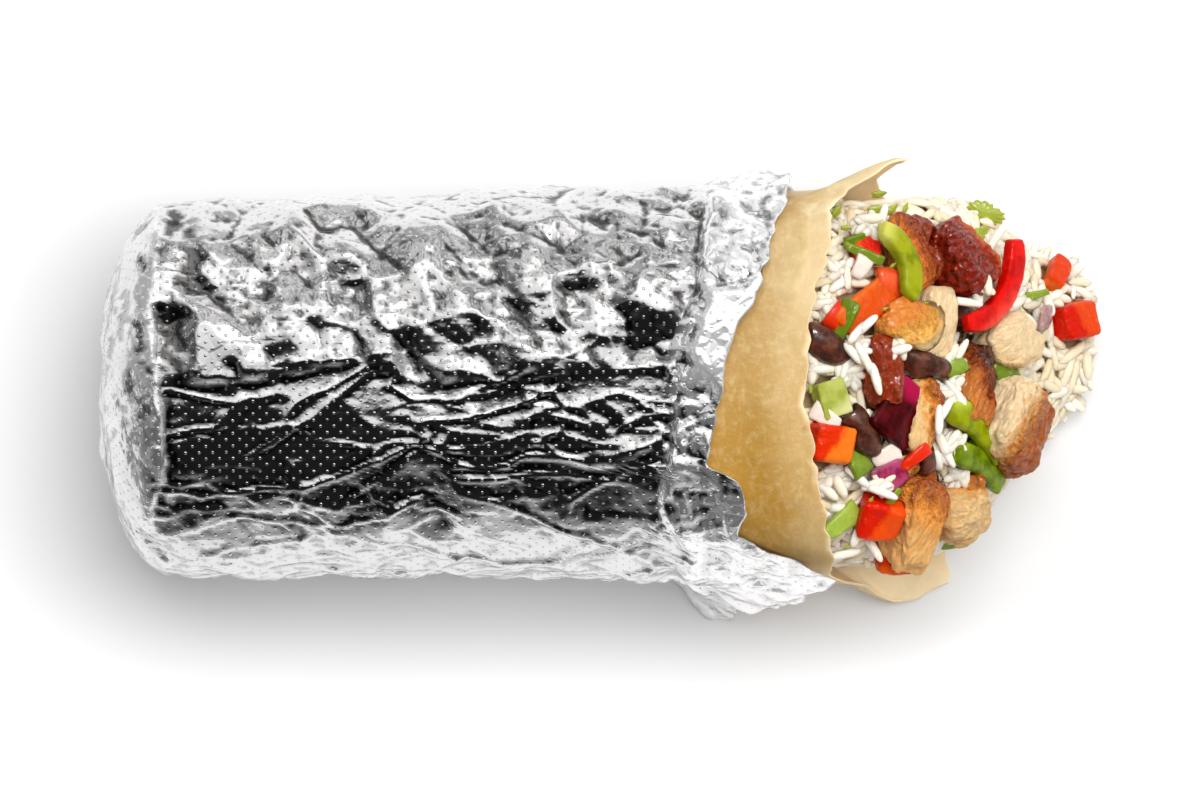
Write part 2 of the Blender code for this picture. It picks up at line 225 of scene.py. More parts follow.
class Finish:
    """A material being made. node() adds any node; the rest are the ones used again and again."""

    def __init__(self, name, **shader_values):
        self.material = bpy.data.materials.new(name)
        self.material.use_nodes = True
        self.tree = self.material.node_tree
        self.shader = self.tree.nodes["Principled BSDF"]
        for socket, value in shader_values.items():
            self.feed(self.shader, socket.replace("_", " "), value)

    def feed(self, node, socket, value):
        if isinstance(value, Signal):
            self.tree.links.new(value.socket, node.inputs[socket])
        elif isinstance(value, tuple) and len(value) == 3 and node.inputs[socket].type == "RGBA":
            node.inputs[socket].default_value = (*value, 1)
        else:
            node.inputs[socket].default_value = value

    def node(self, kind, settings=None, inputs=None, output=0):
        node = self.tree.nodes.new(kind)
        settings = dict(settings or {})
        stops = settings.pop("stops", None)
        for name, value in settings.items():
            setattr(node, name, value)
        if stops:
            elements = node.color_ramp.elements
            while len(elements) < len(stops):
                elements.new(0.5)
            for element, (place, colour) in zip(elements, stops):
                element.position = place
                element.color = (*colour, 1)
        for socket, value in (inputs or {}).items():
            self.feed(node, socket, value)
        return Signal(self, node.outputs[output])

    def paint(self, **sockets):
        for socket, value in sockets.items():
            self.feed(self.shader, socket.replace("_", " "), value)
        return self.material

    def where(self, centre=(0, 0, 0), turn=(0, 0, 0), stretch=(1, 1, 1)):
        """A place on the piece in millimetres from a centre, turned and then stretched."""
        coordinates = self.node("ShaderNodeTexCoord", output="Object")
        scale = tuple(MM * s for s in stretch)
        inputs = {"Vector": coordinates, "Location": centre, "Rotation": turn, "Scale": scale}
        return self.node("ShaderNodeMapping", {"vector_type": "TEXTURE"}, inputs)

    def noise(self, vector, size, detail=3, roughness=0.5, distortion=0):
        inputs = {
            "Vector": vector,
            "Scale": 1 / size,
            "Detail": detail,
            "Roughness": roughness,
            "Distortion": distortion,
        }
        return self.node("ShaderNodeTexNoise", {}, inputs)

    def creased(self, vector, size):
        """Flat-sided peaks about as far apart as size."""
        inputs = {"Vector": vector, "Scale": 1 / size}
        return self.node("ShaderNodeTexVoronoi", {"distance": "CHEBYCHEV"}, inputs)

    def attribute(self, name):
        return self.node("ShaderNodeAttribute", {"attribute_name": name}, output="Fac")

    def part_of(self, vector, axis):
        return self.node("ShaderNodeSeparateXYZ", {}, {0: vector}, axis)

    def along(self, vector, direction):
        inputs = {0: vector, 1: direction}
        return self.node("ShaderNodeVectorMath", {"operation": "DOT_PRODUCT"}, inputs, "Value")

    def mix(self, share, first, second, blend="MIX"):
        settings = {"data_type": "RGBA", "blend_type": blend}
        inputs = {0: share, 6: first, 7: second}
        return self.node("ShaderNodeMix", settings, inputs, 2)

    def bump(self, height, depth, strength=1.0):
        inputs = {"Height": height, "Distance": depth * MM, "Strength": strength}
        return self.node("ShaderNodeBump", {}, inputs)


def rgb(red, green, blue):
    """A linear colour from the values that a colour picker shows."""
    def linear(value):
        share = value / 255
        return share / 12.92 if share <= 0.04045 else ((share + 0.055) / 1.055) ** 2.4

    return tuple(linear(value) for value in (red, green, blue))


# ------------------------------------------------------------------------------------ mesh tools


def deselect():
    for obj in list(bpy.context.selected_objects):
        obj.select_set(False)


def activate(obj):
    deselect()
    obj.select_set(True)
    bpy.context.view_layer.objects.active = obj


def corners(obj):
    places = np.zeros(len(obj.data.vertices) * 3)
    obj.data.vertices.foreach_get("co", places)
    return places.reshape(-1, 3)


def set_corners(obj, places):
    obj.data.vertices.foreach_set("co", np.asarray(places, np.float32).ravel())
    obj.data.update()


def corner_normals(obj):
    normals = np.zeros(len(obj.data.vertices) * 3, np.float32)
    obj.data.vertices.foreach_get("normal", normals)
    return normals.reshape(-1, 3).astype(float)


def marked(obj, name, values):
    """Gives every corner a number that a finish can read."""
    attribute = obj.data.attributes.new(name, "FLOAT", "POINT")
    attribute.data.foreach_set("value", np.asarray(values, np.float32))


def apply_modifier(obj, kind, **settings):
    activate(obj)
    modifier = obj.modifiers.new(kind.lower(), kind)
    for name, value in settings.items():
        setattr(modifier, name, value)
    bpy.ops.object.modifier_apply(modifier=modifier.name)


def in_edit_mode(obj, *steps):
    """Runs edit-mode steps on everything in a mesh."""
    activate(obj)
    bpy.ops.object.mode_set(mode="EDIT")
    bpy.ops.mesh.select_all(action="SELECT")
    for step in steps:
        step()
    bpy.ops.object.mode_set(mode="OBJECT")


def merge(distance):
    return lambda: bpy.ops.mesh.remove_doubles(threshold=distance)


def face_out():
    bpy.ops.mesh.normals_make_consistent(inside=False)


def dress(obj, name, material, slot, *nodes):
    """Names a finished piece, gives it its finish and lets it ride with the burrito."""
    obj.name = name
    obj.data.name = name
    obj.data.materials.clear()
    obj.data.materials.append(material)
    obj.data.shade_smooth()
    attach(obj, "root")
    if slot != "foil":
        UNWRAPPED.objects.link(obj)
    if nodes:
        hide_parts(*nodes)
    return obj


def copy_of(node):
    """A merged copy of a solid, to shape further."""
    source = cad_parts[node]
    obj = bpy.data.objects.new(node + "_copy", source.data.copy())
    bpy.context.scene.collection.objects.link(obj)
    in_edit_mode(obj, merge(0.01 * MM))
    return obj


# ------------------------------------------------------------------------------------- relief


def facets(points, size, seed, stretch=(1, 1, 1)):
    """Flat-sided noise from -1 to 1, straight between the corners of a lattice of that size."""
    chance = np.random.default_rng(seed)
    heights = chance.uniform(-1, 1, (32, 32, 32))
    turn, _ = np.linalg.qr(chance.normal(size=(3, 3)))
    spots = (points / (size * np.asarray(stretch))) @ turn.T + chance.uniform(0, 32, 3)
    cell = np.floor(spots).astype(int)
    share = spots - cell
    order = np.argsort(-share, axis=1)
    share = np.take_along_axis(share, order, 1)
    rows = np.arange(len(points))
    value = heights[tuple((cell % 32).T)] * (1 - share[:, 0])
    for step in range(3):
        cell[rows, order[:, step]] += 1
        after = share[:, step + 1] if step < 2 else 0
        value += heights[tuple((cell % 32).T)] * (share[:, step] - after)
    return value


def buckled(points, size, seed, amount=0.4):
    """The same points pushed about, so that facets read there come out unlike each other."""
    pushes = [facets(points, size * 1.7, seed + axis) for axis in range(3)]
    return points + np.stack(pushes, 1) * size * amount


def swell(points, size, seed):
    """Smooth noise from -1 to 1."""
    chance = np.random.default_rng(seed)
    total = np.zeros(len(points))
    for _ in range(9):
        direction = chance.normal(size=3)
        direction /= np.linalg.norm(direction)
        wave = 2 * math.pi / (size * chance.uniform(1.2, 2.6))
        total += np.sin(points @ direction * wave + chance.uniform(0, 2 * math.pi))
    return np.clip(total / 4, -1, 1)


def ramp(values, start, end):
    share = np.clip((values - start) / (end - start), 0, 1)
    return share * share * (3 - 2 * share)


def keyed(table, places, column, period=360):
    """A column of a table at places between its rows, smoothed from one to the next."""
    keys = [row[0] for row in table] + [table[0][0] + period]
    values = [row[column] for row in table] + [table[0][column]]
    fine = np.linspace(0, period, 1441)
    lines = np.interp(fine, keys, values)
    return np.interp(places % period, fine, lines)


# --------------------------------------------------------------------------------- the roll


def signed_power(values, exponent):
    return np.sign(values) * np.abs(values) ** exponent


def roll_points(x, angle, inset, scale=1.0, outward=0.0):
    """Points of a layer of the roll in millimetres, with its flat underside."""
    share = (x - FOLDED_END_X) / (TORN_X - FOLDED_END_X)
    half_width = HALF_WIDTHS[0] + (HALF_WIDTHS[1] - HALF_WIDTHS[0]) * share - inset
    axis_y = AXIS_YS[0] + (AXIS_YS[1] - AXIS_YS[0]) * share
    turn = np.radians(angle)
    reach_y = half_width * scale + outward
    reach_z = (HALF_HEIGHT - inset) * scale + outward
    y = axis_y + reach_y * signed_power(np.cos(turn), 2 / SQUARENESS)
    z = HALF_HEIGHT - FLAT_DEPTH + reach_z * signed_power(np.sin(turn), 2 / SQUARENESS)
    return np.stack((x, y, np.maximum(z, inset)), 1)


def column_angles(count):
    """Angles of columns round the roll, even along its section and sparse beneath it, with the
    length of the section up to each."""
    angles = np.linspace(0, 360, 7201)
    section = roll_points(np.zeros(7201), angles, 0)
    steps = np.linalg.norm(np.diff(section, axis=0), axis=1)
    length = np.concatenate(([0], np.cumsum(steps)))
    beneath = ramp(-np.sin(np.radians(angles[1:])), 0.6, 0.9)
    crowd = np.concatenate(([0], np.cumsum(steps * (1 - 0.72 * beneath))))
    spots = np.linspace(0, crowd[-1], count + 1)
    return np.interp(spots, crowd, angles), np.interp(spots, crowd, length)


def end_profile(count, inset):
    """(x, scale) from the middle of the folded end round its edge, evenly spaced."""
    turn = np.radians(np.linspace(90, 0, 2001))
    reach = np.sin(turn) ** (2 / END_SQUARENESS) * (END_ROUNDING - inset)
    scale = np.cos(turn) ** (2 / END_SQUARENESS)
    steps = np.hypot(np.diff(reach), np.diff(scale) * 38)
    length = np.concatenate(([0], np.cumsum(steps)))
    spots = np.linspace(0, length[-1], count + 1)
    x = FOLDED_END_X + END_ROUNDING - np.interp(spots, length, reach)
    return x, np.interp(spots, length, scale), length[-1]


def sheet_grid(columns, rows):
    """A flat grid with a UV map, and each corner's column and row in it."""
    bpy.ops.mesh.primitive_grid_add(x_subdivisions=columns, y_subdivisions=rows, size=1)
    sheet = bpy.context.object
    flat = corners(sheet)
    column = np.rint((flat[:, 0] + 0.5) * columns).astype(int)
    row = np.rint((flat[:, 1] + 0.5) * rows).astype(int)
    return sheet, column, row


def lay_uv(obj, across, along):
    """Writes a UV map from a place for each corner of the mesh."""
    loops = np.zeros(len(obj.data.loops), int)
    obj.data.loops.foreach_get("vertex_index", loops)
    pairs = np.stack((across[loops], along[loops]), 1)
    obj.data.uv_layers[0].data.foreach_set("uv", pairs.astype(np.float32).ravel())


# ------------------------------------------------------------------------------------- foil


def ridges(points, size, seed, stretch, width):
    """Thin ridges from 0 to 1 that wander along the seams of facets of that size."""
    seams = np.abs(facets(points, size, seed, stretch))
    kept = ramp(facets(points, size * 2.4, seed + 40, stretch), -0.35, 0.1)
    return kept * np.clip(1 - seams * size / width, 0, 1)


def plates_at(points, angle):
    """1 on the back half of the roll's top, where the foil is crumpled into plates."""
    y = points[:, 1] + 4 * facets(points, 24, 5)
    top = ramp(np.sin(np.radians(angle)), -0.2, 0.3)
    return ramp(y, -1, 3) * top


def foil_relief(points, angle, crushed, flap):
    """How far the foil stands out from the roll, in millimetres, as it is crumpled."""
    y = points[:, 1] + 4 * facets(points, 24, 5)
    top = ramp(np.sin(np.radians(angle)), -0.2, 0.3)
    plates = plates_at(points, angle)
    front = 0.65 * (1 - ramp(y, -27, -15))
    crumpled = np.clip(plates + front + crushed, 0.1, 1)
    streaked = 1 - 0.7 * np.clip(plates + crushed, 0, 1)
    bent = buckled(points, 13, 11, 0.25)
    fine = buckled(points, 5, 12, 0.2)
    relief = 0.7 * facets(points, 34, 20)
    relief += 0.9 * top * ramp(y, -1.5, 3) * ramp(y, 25, 5)
    upright = (0.8, 1.2, 1.2)
    relief += crumpled * 1.2 * facets(bent, 13, 22, upright)
    relief += crumpled * 1.6 * facets(points, 8, 23, upright)
    relief += 0.9 * crushed * front * facets(points, 6, 30)
    relief += (crumpled * 0.38 + 0.14 * plates + 0.35 * crushed) * facets(fine, 4, 24, upright)
    relief += (crumpled * (0.12 - 0.08 * plates) + 0.2 * crushed) * facets(points, 2.2, 26)
    long_way = (2.6, 1, 1)
    relief += streaked * 0.42 * facets(bent, 8, 25, long_way)
    relief += streaked * 0.16 * facets(fine, 3, 27, long_way)
    for seed in range(6):
        size = 4 + 1.8 * seed
        relief += streaked * (0.3 + 0.06 * seed) * ridges(bent, size, 31 + seed, long_way, 1.1)
    relief = np.clip(relief - 0.4 + 0.4 * crushed, -3.2 + 1.9 * crushed, 1.45)
    torn = 1.6 * facets(bent, 9, 28) + 1.1 * facets(points, 4.5, 29)
    return relief + flap * torn


def around_of(sheet, reach):
    """The mean of a grid's four neighbours, some cells away."""
    return sum(np.roll(sheet, step, axis) for step in (-reach, reach) for axis in (0, 1)) / 4


def foil_rim_x(angle):
    turn = np.radians(angle)
    ring = np.stack((np.zeros_like(turn), 40 * np.cos(turn), 32 * np.sin(turn)), 1)
    torn = 1.6 * facets(ring, 9, 51) + 0.9 * facets(ring, 3.2, 52)
    return keyed(FOIL_RIM, angle, 1) + torn * (1 + 1.2 * ramp(np.abs(angle - 192), 26, 14))


def make_foil():
    """The foil: one sheet from the middle of the folded end to its torn rim, hemmed inside."""
    hem = (0.35, 0.35, 2, 5, 9, 14)
    end_x, end_scale, end_length = end_profile(FOIL_END_ROWS, 0)
    angles, around = column_angles(FOIL_COLUMNS)
    rows = FOIL_END_ROWS + FOIL_ROWS + len(hem)
    foil, column, row = sheet_grid(FOIL_COLUMNS, rows)
    angle = angles[column]
    rim_x = foil_rim_x(angle)
    flare = keyed(FOIL_RIM, angle, 2)

    in_end = row <= FOIL_END_ROWS
    end_row = np.minimum(row, FOIL_END_ROWS)
    share = np.clip((row - FOIL_END_ROWS) / FOIL_ROWS, 0, 1)
    start_x = FOLDED_END_X + END_ROUNDING
    x = np.where(in_end, end_x[end_row], start_x + (rim_x - start_x) * share)
    scale = np.where(in_end, end_scale[end_row], 1)
    tucked = np.maximum(row - FOIL_END_ROWS - FOIL_ROWS, 0)
    back_in = np.concatenate(([0], hem))[tucked]
    x = x - back_in

    stand_off = flare * ramp(rim_x - x, FOIL_FLARE_LENGTH, 0)
    plain = roll_points(x, angle, 0, scale, stand_off * scale)
    into_cuff = x - keyed(FOIL_CUFF, angle, 1) + 1.2 * facets(plain, 14, 53)
    cuff = ramp(np.sin(np.radians(angle)), -0.3, 0.2) * ramp(into_cuff, -0.8, 0.8)
    stand_off = stand_off + 0.8 * cuff
    into_end = FOLDED_END_X + 15.5 - x + 2.5 * facets(plain, 22, 54) + 0.8 * facets(plain, 5, 55)
    gathered = ramp(into_end, -0.5, 0.9)
    stand_off = stand_off + 0.5 * gathered * (1 - 0.5 * in_end)
    crushed = np.maximum(ramp(into_cuff, -2, 1.5), gathered)
    flap = ramp(np.abs(angle - 208), 34, 14) * ramp(rim_x - x, 16, 8)
    relief = foil_relief(plain, angle, crushed, flap)
    relief = relief * ramp(scale, 0, 0.3)
    under = ramp(-np.sin(np.radians(angle)), 0.75, 0.95)
    relief = relief * (1 - under)
    gauge = FOIL_GAUGE * (tucked > 0)
    places = roll_points(x, angle, 0, scale, (stand_off + relief) * scale - gauge)
    places[:, 2] = np.maximum(places[:, 2], gauge)
    folds = ramp(scale, 0.95, 0.35) * in_end
    places[:, 0] += folds * 1.3 * np.abs(facets(buckled(plain, 12, 61), 14, 62))
    places[:, 0] += folds * 1.0 * np.abs(facets(plain, 6, 63))
    places[:, 0] += folds * 0.4 * facets(plain, 3.2, 64)
    set_corners(foil, places * MM)
    marked(foil, "crushed", crushed)
    marked(foil, "satin", np.maximum(plates_at(plain, angle), crushed))
    # Painted shade in the creases: how deep each corner lies in a valley, which the finish turns towards near-black;
    # none beneath the roll and on the hem, less at the front.
    sheet = np.zeros((rows + 1, FOIL_COLUMNS + 1))
    sheet[row, column] = relief
    soft = (2 * sheet + around_of(sheet, 1) * 2) / 4
    folded = (around_of(soft, 2) - soft)[row, column] * (tucked == 0) * ramp(scale, 0.3, 0.6)
    smooth_front = 0.6 * ramp(plain[:, 1], -30, -37)
    marked(foil, "folded", ramp(folded, 0.035, 0.11) * (1 - under) * (1 - smooth_front))
    along = np.where(in_end, end_length * end_row / FOIL_END_ROWS, end_length + x - start_x)
    lay_uv(foil, around[column], along)
    in_edit_mode(foil, merge(0.002 * MM), face_out)
    return dress(foil, "foil", foil_finish(), "foil", "foil_wrap")


def foil_finish():
    """Bright foil with rows of small embossed dots and a fine crinkle, with painted shade in its creases and on its
    folded end.
    """
    foil = Finish("foil")
    around_and_along = foil.node("ShaderNodeUVMap")
    pitch = 2.9
    dots = None
    for offset in (0, 0.5):
        inputs = {0: around_and_along, 1: (1 / pitch, 1 / pitch, 0), 2: (offset, offset, 0)}
        cell = foil.node("ShaderNodeVectorMath", {"operation": "MULTIPLY_ADD"}, inputs)
        cell = foil.node("ShaderNodeVectorMath", {"operation": "FRACTION"}, {0: cell})
        cell = foil.node(
            "ShaderNodeVectorMath", {"operation": "SUBTRACT"}, {0: cell, 1: (0.5, 0.5, 0)}
        )
        reach = foil.node("ShaderNodeVectorMath", {"operation": "LENGTH"}, {0: cell}, "Value")
        dot = reach.eased(0.13, 0.04)
        dots = dot if dots is None else dots.highest(dot)
    spot = foil.where()
    crushed = foil.attribute("crushed")
    crinkle = foil.noise(spot, 1.6, 3, 0.5, 0.3)
    worn = foil.noise(spot, 9, 3)
    creases = 0
    for size, turn in ((9.5, 0.4), (4.8, 1.1)):
        creases = creases + size * foil.creased(foil.where(turn=(turn, turn * 0.7, turn)), size)
    satin = foil.attribute("satin")
    height = (0.05 - 0.035 * satin) * crinkle + (0.03 + 0.015 * satin + 0.06 * crushed) * creases
    relief = foil.bump(height, 1.0)
    inputs = {"Height": dots, "Distance": 0.08 * MM, "Strength": 1.0, "Normal": relief}
    embossed = foil.node("ShaderNodeBump", {}, inputs)
    # Painted shade: the crushed foil's colour is darker on the folded end than on the cuff.
    end = foil.part_of(spot, 0).eased(-92, -98)
    back = foil.part_of(spot, 1).eased(-8, 4)
    pressed_with_end_shade = foil.mix(end, (0.92, 0.91, 0.908), (0.8, 0.79, 0.788))
    bright = foil.mix(crushed, (0.745, 0.735, 0.733), pressed_with_end_shade)
    # Painted shade: the creases go towards near-black, less so where the foil is crushed.
    folded = foil.attribute("folded")
    return foil.paint(
        Base_Color=foil.mix(folded * (0.92 - 0.42 * crushed), bright, (0.08, 0.078, 0.075)),
        Metallic=1 - (0.12 + 0.22 * back) * crushed * (1 - folded),
        Roughness=0.07 + 0.1 * worn + 0.03 * satin,
        Normal=embossed,
    )


# --------------------------------------------------------------------------------- tortilla


def tortilla_rim_x(angle):
    turn = np.radians(angle)
    ring = np.stack((np.zeros_like(turn), 40 * np.cos(turn), 32 * np.sin(turn)), 1)
    torn = 1.1 * facets(ring, 8, 71) + 0.9 * facets(ring, 2.6, 72)
    lip = ramp(np.abs(angle - 224), 26, 12)
    ragged = 2.0 * lip * facets(ring, 3.6, 83)
    return keyed(TORTILLA_RIM, angle, 1) + torn * (1 + 1.6 * lip) + ragged - lip


def make_tortilla():
    """The tortilla: a closed shell with a torn rim, from the folded end to its lip and tip."""
    hidden, shown, edge = 18, 70, 5
    angles, _ = column_angles(TORTILLA_COLUMNS)
    rows = 2 * (hidden + shown) + edge
    tortilla, column, row = sheet_grid(TORTILLA_COLUMNS, rows)
    angle = angles[column]
    rim_x = tortilla_rim_x(angle)
    flare = keyed(TORTILLA_RIM, angle, 2)

    outer = row <= hidden + shown
    inner = row >= hidden + shown + edge
    step = np.where(outer, row, np.where(inner, rows - row, hidden + shown))
    end_x, end_scale, _ = end_profile(hidden, TORTILLA_INSET + 3)
    in_end = step <= hidden
    share = np.clip((step - hidden) / shown, 0, 1) ** 0.45
    start_x = FOLDED_END_X + END_ROUNDING
    x = np.where(in_end, end_x[np.minimum(step, hidden)], start_x + (rim_x - start_x) * share)
    scale = np.where(in_end, end_scale[np.minimum(step, hidden)], 1)

    stand_off = flare * ramp(rim_x - x, TORTILLA_FLARE_LENGTH, 0)
    plain = roll_points(x, angle, TORTILLA_INSET, scale, stand_off * scale)
    thickness = TORTILLA_THICKNESS * (1 - 0.7 * ramp(rim_x - x, 9, 0))
    round_edge = np.clip((row - hidden - shown) / edge, 0, 1) * math.pi
    depth = thickness * (1 - np.cos(round_edge)) / 2
    x = x + np.where(outer | inner, 0, 0.5 * thickness * np.sin(round_edge)) + depth * (1 - scale)
    wavy = 0.35 * swell(plain, 16, 73) + 0.15 * facets(buckled(plain, 8, 74), 7, 75)
    wavy += 0.4 * swell(plain / np.array((1, 2.5, 2.5)), 9, 78)
    wavy -= 0.35 * ridges(buckled(plain, 9, 79), 15, 77, (1, 3.5, 3.5), 1.3)
    open_part = ramp(x, 12, 30) * (1 - ramp(-np.sin(np.radians(angle)), 0.5, 0.9))
    wavy = wavy * open_part
    ply = ramp(rim_x - x - 5 - 2 * facets(plain, 13, 76), 0.4, -0.4)
    ply = ply * ramp(np.sin(np.radians(angle)), 0.2, 0.6) * ramp(np.cos(np.radians(angle)), 0.15, 0.3)
    wavy -= 0.45 * ply
    tucked = 3 * ramp(keyed(FOIL_RIM, angle, 1) - x, 4, 14)
    outward = (stand_off + wavy - tucked - depth) * scale
    places = roll_points(x, angle, TORTILLA_INSET, scale, outward)
    places[:, 2] = np.maximum(places[:, 2], TORTILLA_INSET + depth)
    set_corners(tortilla, places * MM)
    inside = np.clip((row - hidden - shown + 1) / (edge + 1), 0, 1)
    bare = ramp(facets(plain, 7, 80), -0.1, 0.4)
    marked(tortilla, "inside", np.maximum(inside, 0.4 * bare * ramp(rim_x - x, 1.6, 0.2)))
    marked(tortilla, "thin", ply)
    marked(tortilla, "lip", ramp(rim_x - x + 3 * facets(plain, 9, 82), 13, 2))
    in_edit_mode(tortilla, merge(0.002 * MM), face_out)
    return dress(tortilla, "tortilla_sheet", tortilla_finish(), "tortilla", "tortilla")


def tortilla_finish():
    """Soft flour dough with painted light and shade: paler towards the back and top, darker towards the front, pale
    again at its front edge; with a mealy mottle and faint toasted patches.
    """
    dough = Finish(
        "tortilla", Subsurface_Weight=0.12, Subsurface_Scale=0.002, Specular_IOR_Level=0.25
    )
    spot = dough.where()
    across = dough.part_of(spot, 1)
    wander = dough.noise(spot, 12, 3)
    # Painted light and shade across the roll: darker towards the front and through the middle, paler towards the back
    # and top, and pale again at the very front, where the lip lies flat in the light.
    shade = (across + 14 * (wander - 0.5)).eased(-26, 42)
    colour = dough.mix(shade, rgb(176, 132, 52), rgb(186, 158, 108))
    colour = dough.mix(across.eased(24, 40) * 0.55, colour, rgb(218, 198, 158))
    colour = dough.mix(across.eased(-28, -40) * 0.6, colour, rgb(206, 170, 104))
    colour = dough.mix(across.eased(-38, -43) * 0.7, colour, rgb(240, 214, 166))
    patches = dough.noise(spot, 9, 5, 0.6).eased(0.44, 0.62)
    colour = dough.mix(patches * 0.62, colour, rgb(176, 136, 64))
    meal = dough.noise(spot, 1.9, 5, 0.7).eased(0.46, 0.7)
    colour = dough.mix(meal * 0.24, colour, rgb(232, 212, 166))
    colour = dough.mix(dough.attribute("lip") * 0.28, colour, rgb(230, 208, 160))
    streaks = dough.noise(dough.where(stretch=(1, 3, 3)), 2.2, 5, 0.65, 0.6)
    colour = dough.mix(streaks.eased(0.5, 0.75) * 0.22, colour, rgb(230, 208, 162))
    colour = dough.mix(streaks.eased(0.48, 0.3) * 0.14, colour, rgb(150, 112, 50))
    toast = dough.noise(dough.where((0.011, 0.007, 0)), 5.5, 2).eased(0.66, 0.78)
    colour = dough.mix(toast * 0.45, colour, rgb(150, 98, 40))
    colour = dough.mix(dough.attribute("thin") * 0.3, colour, rgb(234, 214, 172))
    inside = dough.attribute("inside")
    crumb = dough.mix(patches * 0.35, rgb(250, 228, 190), rgb(234, 200, 148))
    colour = dough.mix(inside.eased(0.05, 0.6), colour, crumb)
    grain = dough.noise(spot, 0.9, 5, 0.6) + 2.5 * dough.noise(spot, 5, 3)
    return dough.paint(Base_Color=colour, Roughness=0.5 + 0.15 * meal, Normal=dough.bump(grain, 0.12))


# ------------------------------------------------------------------------------ food shapes


def remeshed(obj, voxel):
    apply_modifier(obj, "REMESH", mode="VOXEL", voxel_size=voxel * MM)


def softened(obj, times, factor=0.5):
    apply_modifier(obj, "SMOOTH", factor=factor, iterations=times)


def pushed(obj, amounts):
    """Moves every corner along its normal by an amount in millimetres."""
    set_corners(obj, corners(obj) + corner_normals(obj) * np.asarray(amounts)[:, None] * MM)


def chopped(obj, seed, cuts=9, depth=1.3):
    """Cuts flat faces into a rounded lump, each a little way in from its side."""
    chance = np.random.default_rng(seed)
    places = corners(obj) / MM
    for _ in range(cuts):
        side = chance.normal(size=3)
        side /= np.linalg.norm(side)
        reach = places @ side
        beyond = np.maximum(reach - (reach.max() - depth * chance.uniform(0.6, 1.4)), 0)
        places = places - beyond[:, None] * side * 0.9
    set_corners(obj, places * MM)


def edges_of(obj, times):
    """How far each corner stands out from the shape around it, in millimetres."""
    smooth = obj.copy()
    smooth.data = obj.data.copy()
    bpy.context.scene.collection.objects.link(smooth)
    softened(smooth, times)
    apart = (corners(obj) - corners(smooth)) / MM
    bpy.data.objects.remove(smooth)
    return np.sum(apart * corner_normals(obj), 1)


def turned(points, degrees):
    """Points turned about Z."""
    turn = math.radians(degrees)
    matrix = np.array(((math.cos(turn), math.sin(turn), 0), (-math.sin(turn), math.cos(turn), 0), (0, 0, 1)))
    return points @ matrix.T


def middle_of(node):
    low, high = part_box(node)
    return tuple((a + b) / 2 for a, b in zip(low, high))


def tree_of(obj):
    places = [Vector(co) for co in corners(obj)]
    return BVHTree.FromPolygons(places, [tuple(face.vertices) for face in obj.data.polygons])


def tree_of_nodes(nodes):
    places, faces = [], []
    for node in nodes:
        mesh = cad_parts[node].data
        start = len(places)
        places.extend(corner.co.copy() for corner in mesh.vertices)
        faces.extend(tuple(corner + start for corner in face.vertices) for face in mesh.polygons)
    return BVHTree.FromPolygons(places, faces)


def joined(name, lumps, tones):
    """One mesh from many lumps, each its corners and faces, with a tone for each lump."""
    places, faces, tone = [], [], []
    start = 0
    for (points, polygons), value in zip(lumps, tones):
        places.append(points)
        faces.extend([tuple(corner + start for corner in polygon) for polygon in polygons])
        tone.append(np.full(len(points), value))
        start += len(points)
    mesh = bpy.data.meshes.new(name)
    mesh.from_pydata((np.concatenate(places) * MM).tolist(), [], faces)
    obj = bpy.data.objects.new(name, mesh)
    bpy.context.scene.collection.objects.link(obj)
    marked(obj, "tone", np.concatenate(tone))
    in_edit_mode(obj, face_out)
    return obj


def template(add, *steps):
    """Corners and faces of a primitive shaped by edit-mode steps, and then removed."""
    deselect()
    add()
    obj = bpy.context.object
    in_edit_mode(obj, *steps)
    shape = corners(obj), [tuple(face.vertices) for face in obj.data.polygons]
    bpy.data.objects.remove(obj)
    return shape


def aimed(heading, rise=0.0, roll=0.0):
    """Three axes as columns: X along a heading in degrees, raised by rise and rolled."""
    along = Matrix.Rotation(math.radians(heading), 3, "Z")
    along = along @ Matrix.Rotation(-math.radians(rise), 3, "Y")
    return np.array(along @ Matrix.Rotation(math.radians(roll), 3, "X"))


# ------------------------------------------------------------------------------------- rice


def grain_template():
    """A unit grain along X, round in section, from a small sphere."""
    shape, faces = template(
        lambda: bpy.ops.mesh.primitive_uv_sphere_add(segments=8, ring_count=9, radius=1)
    )
    along = shape[:, 2]
    reach = np.maximum(np.hypot(shape[:, 0], shape[:, 1]), 1e-6)
    blunt = np.sqrt(np.clip(1 - np.abs(along) ** 3.2, 0, 1)) / reach
    return np.stack((along, shape[:, 0] * blunt, shape[:, 1] * blunt), 1), faces


def grain(unit, centre, axes, length, width, bend):
    """Corners of one grain in millimetres."""
    points = unit * np.array((length / 2, width / 2, width / 2 * 0.86))
    points[:, 1] *= 1 - 0.08 * unit[:, 0]
    points[:, 2] += bend * (1 - unit[:, 0] ** 2)
    return points @ axes.T + centre


def scattered(tree_faces, areas, count, spacing, chance):
    """Evenly spread picks on a surface: (place, normal) pairs at least spacing apart."""
    picks = []
    cells = {}
    share = np.cumsum(areas) / np.sum(areas)
    chosen = np.searchsorted(share, chance.random(count))
    for face in chosen:
        a, b, c = tree_faces[face]
        u, v = chance.random(2)
        if u + v > 1:
            u, v = 1 - u, 1 - v
        place = a + (b - a) * u + (c - a) * v
        cell = tuple(np.floor(place / spacing).astype(int))
        close = False
        for dx in (-1, 0, 1):
            for dy in (-1, 0, 1):
                for dz in (-1, 0, 1):
                    for other in cells.get((cell[0] + dx, cell[1] + dy, cell[2] + dz), ()):
                        if np.linalg.norm(other - place) < spacing:
                            close = True
        if close:
            continue
        cells.setdefault(cell, []).append(place)
        normal = np.cross(b - a, c - a)
        picks.append((place, normal / np.linalg.norm(normal)))
    return picks


